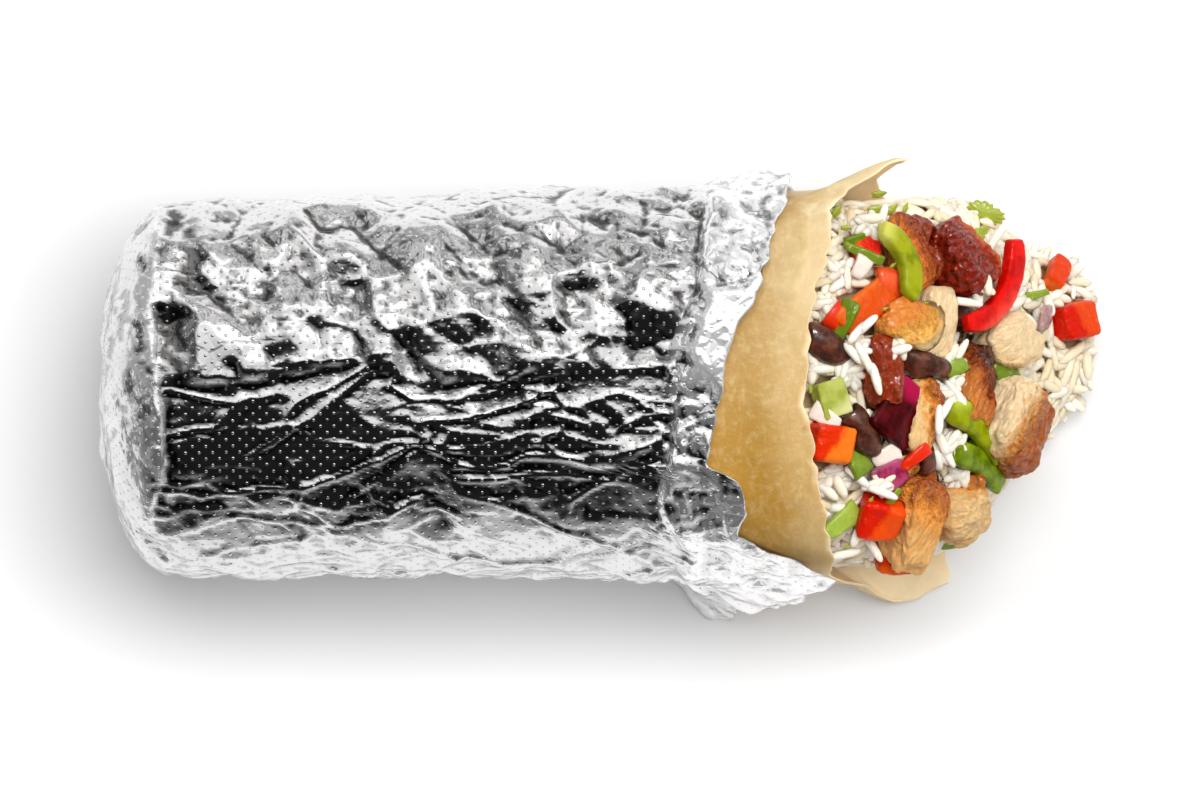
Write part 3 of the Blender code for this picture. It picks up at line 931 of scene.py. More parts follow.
def depth_in(tree, place):
    """How deep a place is inside a closed solid in millimetres, below 0 outside it."""
    near, normal, _, distance = tree.find_nearest(Vector(place * MM))
    inside = (Vector(place * MM) - near).dot(normal) < 0
    return distance / MM * (1 if inside else -1)


def make_rice(pieces):
    """A soft core just under the heap's surface, with grains all over what shows of it."""
    heap = copy_of("rice_filling")
    heap_tree = tree_of(heap)
    places = corners(heap) / MM
    heap.data.calc_loop_triangles()
    triangles = np.array([places[list(t.vertices)] for t in heap.data.loop_triangles])
    middle = triangles.mean(1)
    out = middle[:, 0] > SPILL_X
    triangles = triangles[out]
    areas = np.linalg.norm(
        np.cross(triangles[:, 1] - triangles[:, 0], triangles[:, 2] - triangles[:, 0]), axis=1
    )
    chance = np.random.default_rng(7)
    unit, faces = grain_template()
    lumps, tones = [], []
    for place, normal in scattered(triangles, areas, 30000, GRAIN_SPACING, chance):
        length = chance.uniform(*GRAIN_LENGTHS)
        width = chance.uniform(*GRAIN_WIDTHS)
        centre = place + normal * chance.uniform(-1.5, 0.2)
        nearest = pieces.find_nearest(Vector(place * MM))[3]
        if place[2] < 1.2 or nearest < 0.7 * MM:
            continue
        best = None
        for _ in range(7):
            along = np.cross(normal, chance.normal(size=3))
            along /= np.linalg.norm(along)
            along = along + normal * chance.normal(0, 0.2)
            along /= np.linalg.norm(along)
            side = np.cross(normal, along)
            side /= np.linalg.norm(side)
            axes = np.stack((along, side, np.cross(along, side)), 1)
            cost = 0
            for end in (-0.45, 0.45):
                tip = centre + along * end * length
                cost += max(depth_in(pieces, tip) + 0.4, 0)
                cost += max(-depth_in(heap_tree, tip) - 0.5, 0) * 1.5
                cost += max(1.0 - tip[2], 0) * 3
            if best is None or cost < best[0]:
                best = cost, axes
        if best[0] > 2.2:
            continue
        bend = chance.uniform(0.1, 0.7)
        lumps.append((grain(unit, centre, best[1], length, width, bend), faces))
        tones.append(0.75 * chance.random())
    for _ in range(STRAY_GRAINS):
        bearing = math.radians(chance.uniform(-75, 75))
        aim = np.array((math.cos(bearing), math.sin(bearing), 0))
        foot = np.array((92, 20, 4)) + aim * 5
        hit = heap_tree.ray_cast(Vector((foot + aim * 60) * MM), Vector(-aim))[0]
        if hit is None:
            continue
        length = chance.uniform(6, 8.5)
        axes = aimed(math.degrees(bearing) + chance.normal(0, 30), chance.uniform(-5, 25))
        centre = np.array(hit) / MM + aim * chance.uniform(-2.5, 0.6) + (0, 0, chance.uniform(-1, 3))
        centre[2] = max(centre[2], 2.2)
        if centre[0] + 4 < RICE_REACH_X:
            lumps.append((grain(unit, centre, axes, length, 2.3, 0.5), faces))
            tones.append(chance.random())
    for x, y, z, reach, count in RICE_CLUMPS:
        for _ in range(count):
            spread = chance.normal(0, 0.42, 3) * (reach, reach, 1.6)
            axes = aimed(chance.uniform(0, 360), chance.normal(0, 14))
            length, width = chance.uniform(5, 7.5), chance.uniform(1.8, 2.4)
            centre = np.array((x, y, z - 1.2)) + spread
            lumps.append((grain(unit, centre, axes, length, width, 0.5), faces))
            tones.append(chance.uniform(0.4, 0.9))
    for x, y, z, heading, rise, length in LAID_GRAINS:
        axes = aimed(heading, rise)
        lumps.append((grain(unit, np.array((x, y, z)), axes, 0.88 * length, 1.95, 0.5), faces))
        tones.append(0.9)
    grains = joined("rice_grains", lumps, tones)
    material = rice_finish()
    dress(grains, "rice_grains", material, "rice", "rice_filling")

    remeshed(heap, 1.3)
    pushed(heap, np.full(len(heap.data.vertices), -0.9))
    softened(heap, 3)
    points = corners(heap) / MM
    lumpy = -0.9 + 0.5 * swell(points, 4, 81)
    pushed(heap, lumpy)
    # Painted shade: the core under the grains gets tone -0.6, which the finish turns dark brown, as shade between the
    # grains.
    marked(heap, "tone", np.full(len(points), -0.6))
    dress(heap, "rice_core", material, "rice")
    return grains


def rice_finish():
    """Cooked long-grain rice: ivory, slightly see-through and moist, and dark brown on the core between the grains as
    painted shade.
    """
    rice = Finish(
        "rice",
        Roughness=0.34,
        Subsurface_Weight=0.4,
        Subsurface_Scale=0.002,
        Subsurface_Radius=(1, 0.8, 0.55),
        Specular_IOR_Level=0.32,
    )
    tone = rice.attribute("tone")
    spot = rice.where()
    cloud = rice.noise(spot, 5, 2)
    fine = rice.noise(spot, 0.7, 3)
    colour = rice.mix(tone, rgb(226, 208, 172), rgb(248, 241, 228))
    # Painted shade: tones below 0, found only on the core, go dark brown between the grains.
    colour = rice.mix(tone.eased(0, -0.6) * 0.7, colour, rgb(150, 112, 66))
    colour = rice.mix(cloud.eased(0.5, 0.8) * 0.5, colour, rgb(230, 208, 168))
    return rice.paint(Base_Color=colour, Normal=rice.bump(fine, 0.12))


# ---------------------------------------------------------------------------------- chicken

# Each piece: flesh, crust and char colours, the way its crust faces and where it starts and is
# full in millimetres from the middle, its fibres' heading, and how lumpy and shiny it is.
CHICKEN = {
    "chicken_dark": ((220, 120, 34), (178, 56, 10), (116, 24, 8), (-0.5, -0.5, 0.4), (-8, -2), 20, 0.9, 0.2),
    "chicken_orange": ((240, 152, 62), (204, 102, 36), (116, 38, 14), (1, 0.5, 0.1), (-2, 3.5), 80, 0.7, 0.25),
    "chicken_golden": ((250, 220, 168), (242, 172, 68), (204, 116, 40), (0, 0.7, 0.7), (-3.5, 3), 5, 0.7, 0.3),
    # chicken_pale_back: its crust and char are paler than its flesh, painted light that brightens the piece towards +X
    # where it lies in shade.
    "chicken_pale_back": ((255, 218, 166), (255, 228, 184), (250, 205, 150), (1, 0, 0), (3, 8), 80, 0.2, 0.35),
    "chicken_left": ((234, 138, 44), (184, 66, 14), (126, 40, 14), (0.2, -0.2, 1), (-4, 2), 70, 0.8, 0.2),
    "chicken_centre": ((255, 214, 150), (222, 134, 44), (118, 38, 8), (1, 0.1, 0), (1.5, 4.5), 75, 0.6, 0.25),
    "chicken_seared": ((216, 128, 46), (164, 74, 20), (44, 10, 4), (0.8, 0.45, 0), (-0.5, 3.5), 60, 0.7, 0.22),
    "chicken_round": ((255, 222, 172), (254, 214, 156), (238, 180, 112), (0, -1, 0), (3, 8), 30, 0.5, 0.35),
    "chicken_fibrous": ((255, 230, 184), (216, 138, 58), (146, 70, 22), (0.8, -0.55, -0.1), (-2.0, 4.5), 55, 1.0, 0.3),
    "chicken_front": ((252, 192, 114), (232, 142, 48), (146, 66, 26), (0.5, 0.6, 0.2), (-2, 7), 75, 0.9, 0.2),
    "chicken_tan": ((242, 202, 140), (214, 134, 54), (156, 80, 28), (0.1, 1, 0.1), (2, 6), 10, 0.9, 0.25),
    "chicken_crumb": ((252, 208, 144), (216, 136, 54), (156, 80, 28), (1, 0, 0), (1, 4), 40, 0.6, 0.3),
}


def make_chicken():
    for index, (node, spec) in enumerate(CHICKEN.items()):
        fibres, lumpiness = spec[5], spec[6]
        piece = copy_of(node)
        remeshed(piece, 0.45)
        softened(piece, 3)
        seed = 100 + 10 * index
        chopped(piece, seed)
        points = corners(piece) / MM
        rough = 0.3 + 0.6 * lumpiness
        relief = rough * 0.8 * facets(points, 7.5, seed + 1)
        relief += rough * 0.45 * facets(buckled(points, 4, seed + 8), 3.2, seed + 9)
        strands = turned(points, fibres)
        strands = buckled(strands, 6, seed + 4, 0.15)
        folds = np.abs(swell(strands / np.array((3.0, 1, 1)), 2.1, seed + 5))
        relief += lumpiness * 0.95 * (folds - 0.35)
        threads = swell(strands / np.array((3.6, 1, 1)), 1.1, seed + 3)
        relief += lumpiness * 0.3 * np.abs(threads)
        relief += lumpiness * 0.25 * facets(buckled(points, 2, seed + 6), 1.5, seed + 7)
        pushed(piece, relief)
        marked(piece, "edge", edges_of(piece, 14))
        name = node.replace("chicken", "chicken_piece")
        dress(piece, name, chicken_finish(node, *spec), "chicken", node)


def blended(first, second, share):
    return tuple(a + (b - a) * share for a, b in zip(first, second))


def chicken_finish(node, flesh, crust, char, facing, reach, fibres, lumpiness, roughness):
    """Grilled chicken: pale torn fibres, browned more and more towards the grilled side, with painted shade in its
    crevices, and fibre stripes that are partly its own colour and partly painted light and shade.
    """
    meat = Finish(
        node,
        Subsurface_Weight=0.1,
        Subsurface_Scale=0.001,
        Specular_IOR_Level=0.36,
        Subsurface_Radius=(1, 0.5, 0.25),
    )
    centre = middle_of(node)
    spot = meat.where(centre)
    threads = meat.where(centre, (0, 0, math.radians(fibres)), (2.8, 1, 1))
    wander = meat.noise(spot, 4, 4, 0.6)
    bubbles = meat.noise(spot, 1.0, 4, 0.65)
    blisters = meat.node("ShaderNodeTexVoronoi", {"feature": "SMOOTH_F1"}, {"Vector": spot, "Scale": 0.62})
    strand = meat.noise(threads, 0.8, 5, 0.7, 0.8)
    start, end = reach
    cooked = (meat.along(spot, facing) + 6 * (wander - 0.5)).eased(start - 2, end + 2) + 0.9 * (bubbles - 0.5)
    edge = meat.attribute("edge")
    cooked = cooked + 0.45 * edge.eased(0.1, 0.45) * cooked.eased(-0.1, 0.4) - 0.25 * edge.eased(-0.05, -0.4)
    # The flesh's fibre stripes: partly the meat's own streaky colour, and partly painted shade between the strands and
    # a painted highlight along them.
    pale = meat.mix(strand.eased(0.42, 0.62) * 0.6, rgb(*flesh), rgb(*blended(flesh, crust, 0.38)))
    pale = meat.mix(strand.eased(0.46, 0.34) * 0.6, pale, rgb(*blended(flesh, (255, 246, 226), 0.6)))
    # Painted shade: concave places darken towards the crust colour.
    crevice_shade = edge.eased(-0.02, -0.3)
    pale = meat.mix(crevice_shade * 0.6, pale, rgb(*blended(flesh, crust, 0.9)))
    colour = meat.mix(cooked.eased(0.1, 0.45), pale, rgb(*blended(flesh, crust, 0.6)))
    colour = meat.mix(cooked.eased(0.4, 0.65), colour, rgb(*crust))
    colour = meat.mix(cooked.eased(0.65, 1.05), colour, rgb(*char))
    # Painted shade: near-black in the concave places where the piece is cooked.
    colour = meat.mix(crevice_shade * cooked.eased(0.2, 0.7) * 0.6, colour, rgb(*blended(char, (20, 4, 2), 0.6)))
    done = cooked.eased(0.2, 0.8)
    glazed = cooked.eased(0.55, 0.95)
    fibrous = 2.6 * strand * (1 - done) + 0.9 * bubbles * done * (1 - glazed)
    relief = meat.bump(fibrous + wander - 2.4 * blisters * glazed, 0.45)
    return meat.paint(
        Base_Color=colour, Roughness=roughness + 0.2 - 0.1 * done - 0.16 * glazed, Normal=relief
    )


# ------------------------------------------------------------------------------ beans and so on


BEANS = (
    "bean_left",
    "bean_middle",
    "bean_right",
    "bean_front",
    "bean_low_front",
    "bean_under_strip",
    "bean_under_pepper",
)


def make_beans():
    finish = bean_finish()
    for node in BEANS:
        bean = copy_of(node)
        remeshed(bean, 0.5)
        softened(bean, 8)
        points = corners(bean) / MM
        pushed(bean, 0.25 + 0.12 * swell(points, 3, 201))
        dress(bean, node.replace("bean", "black_bean"), finish, "bean", node)


def bean_finish():
    bean = Finish("black_bean", Coat_Weight=0.6, Coat_Roughness=0.1, Specular_IOR_Level=0.15)
    spot = bean.where()
    cloud = bean.noise(spot, 3.5, 3, 0.6)
    wear = bean.noise(spot, 1.1, 4, 0.6).eased(0.5, 0.8)
    colour = bean.mix(cloud.eased(0.35, 0.7), rgb(46, 18, 12), rgb(104, 56, 38))
    colour = bean.mix(wear * 0.4, colour, rgb(126, 80, 56))
    return bean.paint(Base_Color=colour, Roughness=0.28 + 0.15 * cloud, Normal=bean.bump(wear, 0.08))


# Each piece: its flesh, its redder colour, and the way that redder side faces; the redder side is partly the tomato's
# peel and partly painted shade on the faces turned that way.
TOMATOES = {
    "tomato_left": ((229, 112, 22), (210, 41, 0), (-0.7, 0.5, 0.3)),
    "tomato_front": ((225, 73, 9), (205, 24, 0), (-0.8, 0.5, 0.3)),
    "tomato_wedge": ((223, 78, 19), (203, 26, 4), (0.9, 0.2, 0.2)),
    "tomato_back": ((214, 96, 14), (206, 74, 6), (0.6, -0.5, 0.4)),
    "tomato_low": ((225, 86, 15), (206, 46, 4), (0, 1, 0.4)),
    "tomato_spilled": ((212, 64, 10), (196, 22, 0), (-0.7, -0.4, 0.3)),
    "tomato_skin": ((223, 102, 32), (208, 56, 7), (0.5, 0.5, 0.5)),
}

# Each piece: middle, deep and light colours, where it turns light, and its slot.
CRISP = {
    "pepper_red": ((212, 14, 4), (178, 2, 0), (224, 66, 46), (0.8, -0.7, 0), (3.8, 7), "pepper_red"),
    "pepper_slice": ((152, 162, 6), (118, 128, 2), (176, 190, 60), (-0.5, 0.8, 0), (4, 8), "pepper_green"),
    "pepper_rind": ((122, 146, 8), (84, 104, 2), (160, 176, 50), (-0.5, 0.8, 0), (4, 8), "pepper_green"),
    "pepper_hook": ((150, 154, 22), (110, 120, 6), (192, 192, 84), (-0.8, 0.5, 0), (2.5, 6), "pepper_green"),
    "pepper_pale": ((172, 178, 90), (146, 156, 58), (206, 206, 142), (0.8, -0.5, 0), (1, 5), "pepper_green"),
    "onion_petal": ((84, 4, 12), (52, 0, 2), (158, 14, 62), (0.75, 0.65, 0), (1.5, 5), "onion"),
    "onion_dice": ((166, 66, 104), (130, 20, 60), (222, 176, 190), (-0.5, 0.5, 0), (1, 4), "onion"),
}
FULLNESS = {"pepper_slice": 0.5, "pepper_rind": 0.4, "pepper_hook": 0.35, "pepper_pale": -0.5}


def make_vegetables():
    for index, (node, colours) in enumerate(TOMATOES.items()):
        piece = copy_of(node)
        remeshed(piece, 0.4)
        softened(piece, 3)
        points = corners(piece) / MM
        wavy = 0.3 * swell(points, 5, 210 + index) + 0.08 * swell(points, 1.4, 220 + index)
        pushed(piece, 0.1 + wavy)
        dress(piece, node + "_piece", tomato_finish(node, *colours), "tomato", node)
    for index, (node, (*look, slot)) in enumerate(CRISP.items()):
        piece = copy_of(node)
        remeshed(piece, 0.4)
        softened(piece, 12 if node in ("pepper_slice", "pepper_rind") else 4)
        points = corners(piece) / MM
        pushed(piece, FULLNESS.get(node, 0.1) + 0.1 * swell(points, 5, 230 + index))
        dress(piece, node + "_piece", crisp_finish(node, *look), slot, node)


def tomato_finish(node, flesh, skin_and_shade, facing):
    """Ripe tomato: wet orange flesh with seeds' hollows, redder towards one side, partly where the peel is and partly
    as painted shade.
    """
    wet = Finish(
        node,
        Subsurface_Weight=0.15,
        Subsurface_Scale=0.0012,
        Specular_IOR_Level=0.15,
    )
    spot = wet.where(middle_of(node))
    pulp = wet.noise(spot, 1.6, 4, 0.6)
    # Painted shade: the flesh turns redder towards one side, over the peel's own redder colour.
    colour = wet.mix((wet.along(spot, facing) + 3 * (pulp - 0.5)).eased(-0.8, 0.8), rgb(*flesh), rgb(*skin_and_shade))
    colour = wet.mix(pulp.eased(0.6, 0.8) * 0.5, colour, rgb(240, 140, 70))
    return wet.paint(Base_Color=colour, Roughness=0.14 + 0.2 * pulp, Normal=wet.bump(pulp, 0.4))


def crisp_finish(node, middle, deep, light, facing, reach):
    """A crisp glossy vegetable, deeper in places and lighter on its cut side."""
    crisp = Finish(
        node,
        Subsurface_Weight=0.1,
        Subsurface_Scale=0.0008,
        Coat_Weight=0.06,
        Coat_Roughness=0.04,
        Specular_IOR_Level=0.08,
    )
    spot = crisp.where(middle_of(node))
    cloud = crisp.noise(spot, 4, 3)
    veins = crisp.noise(spot, 1.2, 3, 0.6)
    depth = crisp.along(spot, facing) + 3 * (cloud - 0.5)
    colour = crisp.mix(cloud.eased(0.35, 0.65), rgb(*deep), rgb(*middle))
    colour = crisp.mix(depth.eased(*reach), colour, rgb(*light))
    colour = crisp.mix(veins.eased(0.6, 0.8) * 0.3, colour, rgb(*light))
    return crisp.paint(Base_Color=colour, Roughness=0.2 + 0.15 * cloud, Normal=crisp.bump(veins, 0.1))


# ---------------------------------------------------------------------------- small toppings

# Diced bits: (x, y, z of the middle, length, width, height, heading, rise, roll, tone).
TOMATO_BITS = (
    (62.0, 20.6, 54.0, 7.2, 6.4, 4.4, 78, 5, 10, 0.5),
    (50.2, 13.6, 57.4, 6.5, 3.6, 3.6, 60, 0, 10, 0.8),
    (67.2, -16.9, 52.8, 8.0, 2.6, 2.6, 38, 0, 20, 0.9),
)
PEPPER_BITS = (
    (51.8, 12.4, 58.6, 9.0, 4.0, 1.4, 68, 8, -25, 0.2),
    (54.4, -17.7, 56.0, 7.4, 4.6, 2.0, 125, 5, 30, 0.35),
    (51.4, -30.8, 51.5, 9.5, 4.4, 2.0, 38, -12, 25, 0.7),
    (76.1, 4.5, 47.0, 6.0, 4.6, 2.0, 120, -10, 10, 0.45),
    (88.4, 3.9, 36.0, 6.5, 6.0, 2.2, 40, -30, 20, 0.25),
    (77.7, -33.4, 29.5, 7.0, 2.4, 2.6, 12, 0, 40, 0.4),
    (56.3, 27.6, 55.0, 9.5, 2.0, 1.2, -24, 0, 30, 0.35),
    (54.6, 30.6, 53.6, 5.0, 2.4, 1.4, 20, 0, 30, 0.2),
    (80.6, 24.8, 46.0, 4.6, 3.6, 1.6, 130, 0, 20, 0.3),
    (97.5, 23.0, 20.5, 5.5, 1.6, 1.2, 14, 0, 20, 0.5),
    (43.6, 20.5, 57.2, 3.6, 1.4, 1.0, 60, 0, 20, 0.3),
    (62.6, -25.6, 52.4, 4.8, 1.6, 1.2, 55, 0, 20, 0.35),
)
ONION_BITS = (
    (55.6, 24.4, 55.6, 5.0, 3.4, 1.6, 60, 0, 10, 0.75),
    (47.6, -8.6, 58.6, 7.0, 3.6, 1.4, -30, 0, 10, 0.85),
    (61.0, -16.6, 54.2, 6.4, 3.6, 1.2, 25, 0, 20, 0.95),
    (99.6, 17.9, 19.0, 6.0, 4.0, 1.2, 80, 30, 60, 0.4),
    (58.5, -15.8, 55.0, 3.0, 1.6, 1.2, 50, 0, 0, 0.45),
)
# Chopped herb: (x, y, z, length, heading).
HERB_FLECKS = (
    (60.5, 42.6, 42.0, 3.6, 10),
    (59.6, 38.4, 46.6, 4.6, 8),
    (63.2, 38.8, 44.6, 3.6, 40),
    (50.7, 37.4, 50.5, 3.6, 55),
    (52.5, 33.4, 53.4, 2.6, 0),
    (66.4, 39.4, 42.6, 2.6, 70),
    (57.6, -26.4, 54.2, 2.0, 60),
    (66.2, -26.8, 51.4, 3.0, 60),
    (52.6, -36.0, 47.6, 1.6, 20),
    (69.6, 16.8, 52.6, 2.0, 10),
    (44.4, -2.6, 58.8, 2.2, 100),
    (60.6, 14.8, 59.6, 1.6, 20),
    (62.4, 24.4, 58.4, 1.8, 40),
    (59.4, -0.8, 60.2, 1.6, 90),
    (45.5, -33.8, 49.5, 1.4, 0),
    (80.6, 23.2, 46.0, 2.6, 0),
    (92.2, 26.4, 26.0, 1.6, 30),
    (73.4, -9.4, 47.8, 1.4, 80),
    (48.6, 4.4, 60.6, 1.4, 10),
)
HERB_LEAVES = (
    (85.2, 40.4, 27.2, 9.4, -16, 8),
    (83.0, 34.4, 36.0, 5.6, 40, 10),
)


def block_template():
    """A unit block with softly rounded edges, from a cut-up cube."""
    return template(
        lambda: bpy.ops.mesh.primitive_cube_add(size=2),
        lambda: bpy.ops.mesh.subdivide(number_cuts=4),
    )


def diced(unit, spec, seed, squareness=0.22):
    """Corners of one cut bit, wavy and a little curled."""
    x, y, z, length, width, height, heading, rise, roll, _ = spec
    reach = np.linalg.norm(unit, axis=1)[:, None]
    rounded = unit * (1 - squareness) + unit / reach * squareness * 1.2
    points = rounded * np.array((length / 2, width / 2, height / 2))
    points[:, 2] -= 0.25 * height * rounded[:, 0] ** 2
    points[:, 1] *= 1 + 0.22 * rounded[:, 0] * (-1) ** seed
    points += 0.05 * width * np.stack([swell(points, 3, seed + axis) for axis in range(3)], 1)
    return points @ aimed(heading, rise, roll).T + np.array((x, y, z))


def leaf(length, teeth, seed):
    """A thin flat leaf along X with a toothed edge: corners and faces, closed on both sides."""
    chance = np.random.default_rng(seed)
    around, rings = 84, 5
    turn = np.linspace(0, 2 * math.pi, around, endpoint=False)
    lobes = 0.74 + 0.26 * np.abs(np.cos(1.5 * turn)) ** 0.6
    lobes += 0.16 * (np.abs((teeth * turn / math.pi) % 2 - 1) - 0.5)
    lobes += 0.04 * chance.uniform(-1, 1, around)
    edge = np.stack((np.cos(turn) * length / 2, np.sin(turn) * length * 0.3), 1) * lobes[:, None]
    places, faces = [], []
    for side in (1, -1):
        for ring in range(rings + 1):
            share = ring / rings
            flat = edge * share
            height = 0.06 * length * (1 - share**2) + 0.025 * length * np.sin(3 * turn) * share
            thick = 0.16 * side * (1 - 0.8 * share**3)
            places.append(np.column_stack((flat, height + thick)))
    grid = np.concatenate(places)
    for side in range(2):
        start = side * (rings + 1) * around
        for ring in range(rings):
            for step in range(around):
                here = start + ring * around + step
                beside = start + ring * around + (step + 1) % around
                faces.append((here, beside, beside + around, here + around))
    outer = rings * around
    other = outer + (rings + 1) * around
    for step in range(around):
        after = (step + 1) % around
        faces.append((outer + step, outer + after, other + after, other + step))
    return grid, faces


def make_bits():
    unit, faces = block_template()
    kinds = (
        ("tomato_bits", TOMATO_BITS, tomato_bit_finish, "tomato"),
        ("pepper_bits", PEPPER_BITS, pepper_bit_finish, "pepper_green"),
        ("onion_bits", ONION_BITS, onion_bit_finish, "onion"),
    )
    for name, specs, finish, slot in kinds:
        lumps = [(diced(unit, spec, 300 + 7 * i), faces) for i, spec in enumerate(specs)]
        bits = joined(name, lumps, [spec[-1] for spec in specs])
        dress(bits, name, finish(), slot)
    lumps = []
    for index, (x, y, z, length, heading) in enumerate(HERB_FLECKS):
        points, leaf_faces = leaf(length, 5, 400 + index)
        points[:, 1] *= 0.8
        lumps.append((points @ aimed(heading, 5, 20).T + np.array((x, y, z)), leaf_faces))
    for index, (x, y, z, length, heading, rise) in enumerate(HERB_LEAVES):
        points, leaf_faces = leaf(length, 15, 450 + index)
        lumps.append((points @ aimed(heading, rise, 15).T + np.array((x, y, z)), leaf_faces))
    herbs = joined("chopped_herb", lumps, [0.5 + 0.5 * (i % 3) / 2 for i in range(len(lumps))])
    in_edit_mode(herbs, merge(0.005 * MM), face_out)
    dress(herbs, "chopped_herb", herb_finish(), "pepper_green")


def tomato_bit_finish():
    return toned_finish("tomato_bits", rgb(224, 96, 30), rgb(214, 40, 6), rgb(240, 150, 80))


def pepper_bit_finish():
    return toned_finish("pepper_bits", rgb(96, 118, 12), rgb(160, 182, 70), rgb(206, 214, 140))


def onion_bit_finish():
    return toned_finish("onion_bits", rgb(120, 20, 60), rgb(236, 222, 208), rgb(246, 236, 224))


def herb_finish():
    return toned_finish("chopped_herb", rgb(118, 134, 24), rgb(150, 164, 56), rgb(190, 196, 104))


def toned_finish(name, low, high, vein):
    """A wet cut vegetable whose colour goes from low to high by each bit's own tone."""
    wet = Finish(
        name,
        Subsurface_Weight=0.15,
        Subsurface_Scale=0.001,
        Coat_Weight=0.2,
        Coat_Roughness=0.1,
        Specular_IOR_Level=0.2,
    )
    tone = wet.attribute("tone")
    spot = wet.where()
    cloud = wet.noise(spot, 1.5, 4, 0.6)
    colour = wet.mix((tone + 0.5 * (cloud - 0.5)).eased(0.1, 0.9), low, high)
    colour = wet.mix(cloud.eased(0.58, 0.72) * 0.5, colour, vein)
    return wet.paint(Base_Color=colour, Roughness=0.25 + 0.2 * cloud, Normal=wet.bump(cloud, 0.2))


# ------------------------------------------------------------------------------------- main


def make_stage():
    """A pale floor that glows, a little close round the burrito and more away from it: painted light that lightens and
    narrows the burrito's shadow and keeps the floor pale as far as it goes.
    """
    bpy.ops.mesh.primitive_plane_add(size=12)
    table = bpy.context.object
    table.name = "table"
    finish = Finish("table", Roughness=0.6, Emission_Color=(1, 1, 1), Emission_Strength=0.62)
    spot = finish.where()
    # Painted light: the floor's emission is lower close round the burrito, rises away from it and is full white far
    # off, which lightens and narrows the burrito's shadow.
    reach = finish.node("ShaderNodeVectorMath", {"operation": "LENGTH"}, {0: spot}, "Value")
    haze = finish.noise(spot, 300, 2)
    beside = (finish.part_of(spot, 0) / 113).math("ABSOLUTE") ** 4
    before = (finish.part_of(spot, 1) / 48).math("ABSOLUTE") ** 4
    near = ((beside + before) ** 0.25).eased(0.98, 1.45)
    glow = finish.mix(reach.eased(200, 1600), finish.mix(near, (0.26, 0.26, 0.26), (0.58, 0.58, 0.58)), (1, 1, 1))
    pale = finish.mix(haze, (0.63, 0.63, 0.633), (0.65, 0.65, 0.653))
    finish.paint(Base_Color=pale, Emission_Color=glow)
    table.data.materials.append(finish.material)


def soft_light(name, lean, distance, across, deep, radiance, beside=0.0):
    """A flat light that faces the burrito, leaning back from overhead by some degrees."""
    light = bpy.data.lights.new(name, "AREA")
    light.shape = "RECTANGLE"
    light.size, light.size_y = across, deep
    light.energy = radiance * math.pi * across * deep
    lamp = bpy.data.objects.new(name, light)
    bpy.context.scene.collection.objects.link(lamp)
    lean_back = math.radians(lean)
    lamp.location = Vector((0, math.sin(lean_back), math.cos(lean_back))) * distance
    lamp.location.x = beside
    lamp.rotation_euler = lamp.location.to_track_quat("Z", "Y").to_euler()
    return lamp


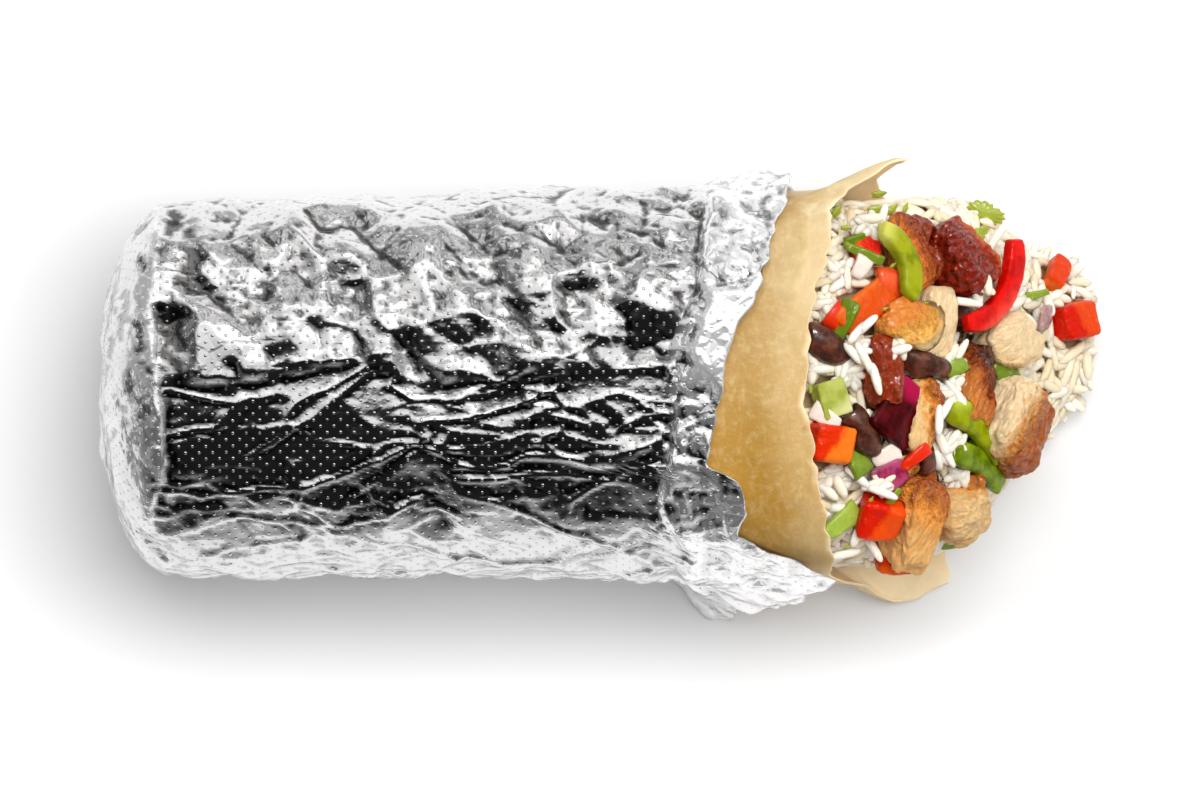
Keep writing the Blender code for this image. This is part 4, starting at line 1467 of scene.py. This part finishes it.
def make_lights():
    """A broad soft light above the back, a fill, a pale horizon and a dark room overhead."""
    soft_light("fill", 7, 1.0, 0.9, 0.8, 5.1, beside=0.22).visible_glossy = False
    shine = soft_light("shine", 34, 1.0, 0.4, 0.14, 46.0, beside=-0.1)
    shine.visible_diffuse = False
    shine.light_linking.receiver_collection = UNWRAPPED
    soft_light("glint", 24, 0.95, 0.24, 0.1, 3.5, beside=0.05)

    world = bpy.data.worlds.new("room")
    bpy.context.scene.world = world
    world.use_nodes = True
    room = Finish.__new__(Finish)
    room.tree = world.node_tree
    place = room.node("ShaderNodeTexCoord", output="Generated")
    height = room.part_of(place, 2)
    rear = height - 0.75 * room.part_of(place, 1)
    behind = room.part_of(place, 1).eased(-0.2, 0.2)
    horizon = HORIZON_GLOW * height.eased(0.84 - 0.4 * behind, 0.1)
    wall = WALL_GLOW * rear.eased(0.9, 0.0)
    lean = math.radians(SOFTBOX_LEAN)
    away = (math.cos(lean) * room.part_of(place, 1) - math.sin(lean) * height).math("ABSOLUTE")
    beside = (room.part_of(place, 0) - 0.08).math("ABSOLUTE")
    softbox = away.eased(*SOFTBOX_EDGE) * beside.eased(*SOFTBOX_SIDES) * height.eased(0, 0.2)
    clutter = room.noise(place, 0.16, 2).eased(0.42, 0.52)
    mottle = 0.7 + 0.6 * room.noise(place, 0.3, 3)
    mottle = mottle * (1 - room.part_of(place, 0).eased(-0.1, -0.6) * clutter * 0.75)
    windows = room.noise(place, 0.13, 1).eased(0.47, 0.53)
    wall = wall * (0.2 + 2.0 * windows)
    patchy = 0.75 + 0.5 * room.noise(place, 0.22, 2)
    glow = horizon.highest(wall).highest(ROOM_GLOW) * mottle + SOFTBOX_GLOW * softbox * patchy
    seen = room.node("ShaderNodeLightPath", output="Is Camera Ray")
    glow = glow * (1 - seen) + BACKDROP_GLOW * seen
    room.feed(world.node_tree.nodes["Background"], "Strength", glow)
    room.feed(world.node_tree.nodes["Background"], "Color", (1, 1, 1))


def make_camera():
    lens = bpy.data.cameras.new("camera")
    lens.lens = 130
    lens.sensor_width = 36
    camera = bpy.data.objects.new("camera", lens)
    bpy.context.scene.collection.objects.link(camera)
    height = math.radians(84)
    back = Vector((0, -math.cos(height), math.sin(height)))
    camera.location = Vector((-1.15, -3, 40)) * MM + back * 956 * MM
    camera.rotation_euler = back.to_track_quat("Z", "Y").to_euler()
    bpy.context.scene.camera = camera


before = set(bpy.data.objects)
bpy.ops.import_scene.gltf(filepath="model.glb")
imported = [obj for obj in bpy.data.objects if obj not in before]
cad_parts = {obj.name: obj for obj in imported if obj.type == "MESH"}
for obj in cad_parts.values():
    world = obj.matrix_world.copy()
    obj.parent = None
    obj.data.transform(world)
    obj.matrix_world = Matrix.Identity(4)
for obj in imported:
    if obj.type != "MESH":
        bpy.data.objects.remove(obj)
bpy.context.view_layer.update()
UNWRAPPED = bpy.data.collections.new("unwrapped")
deselect()
make_camera()
make_lights()
make_stage()
make_foil()
make_tortilla()
make_rice(tree_of_nodes([*CHICKEN, *BEANS, *TOMATOES, *CRISP]))
make_chicken()
make_beans()
make_vegetables()
make_bits()
bpy.context.scene.view_settings.view_transform = "Standard"
bpy.context.view_layer.update()
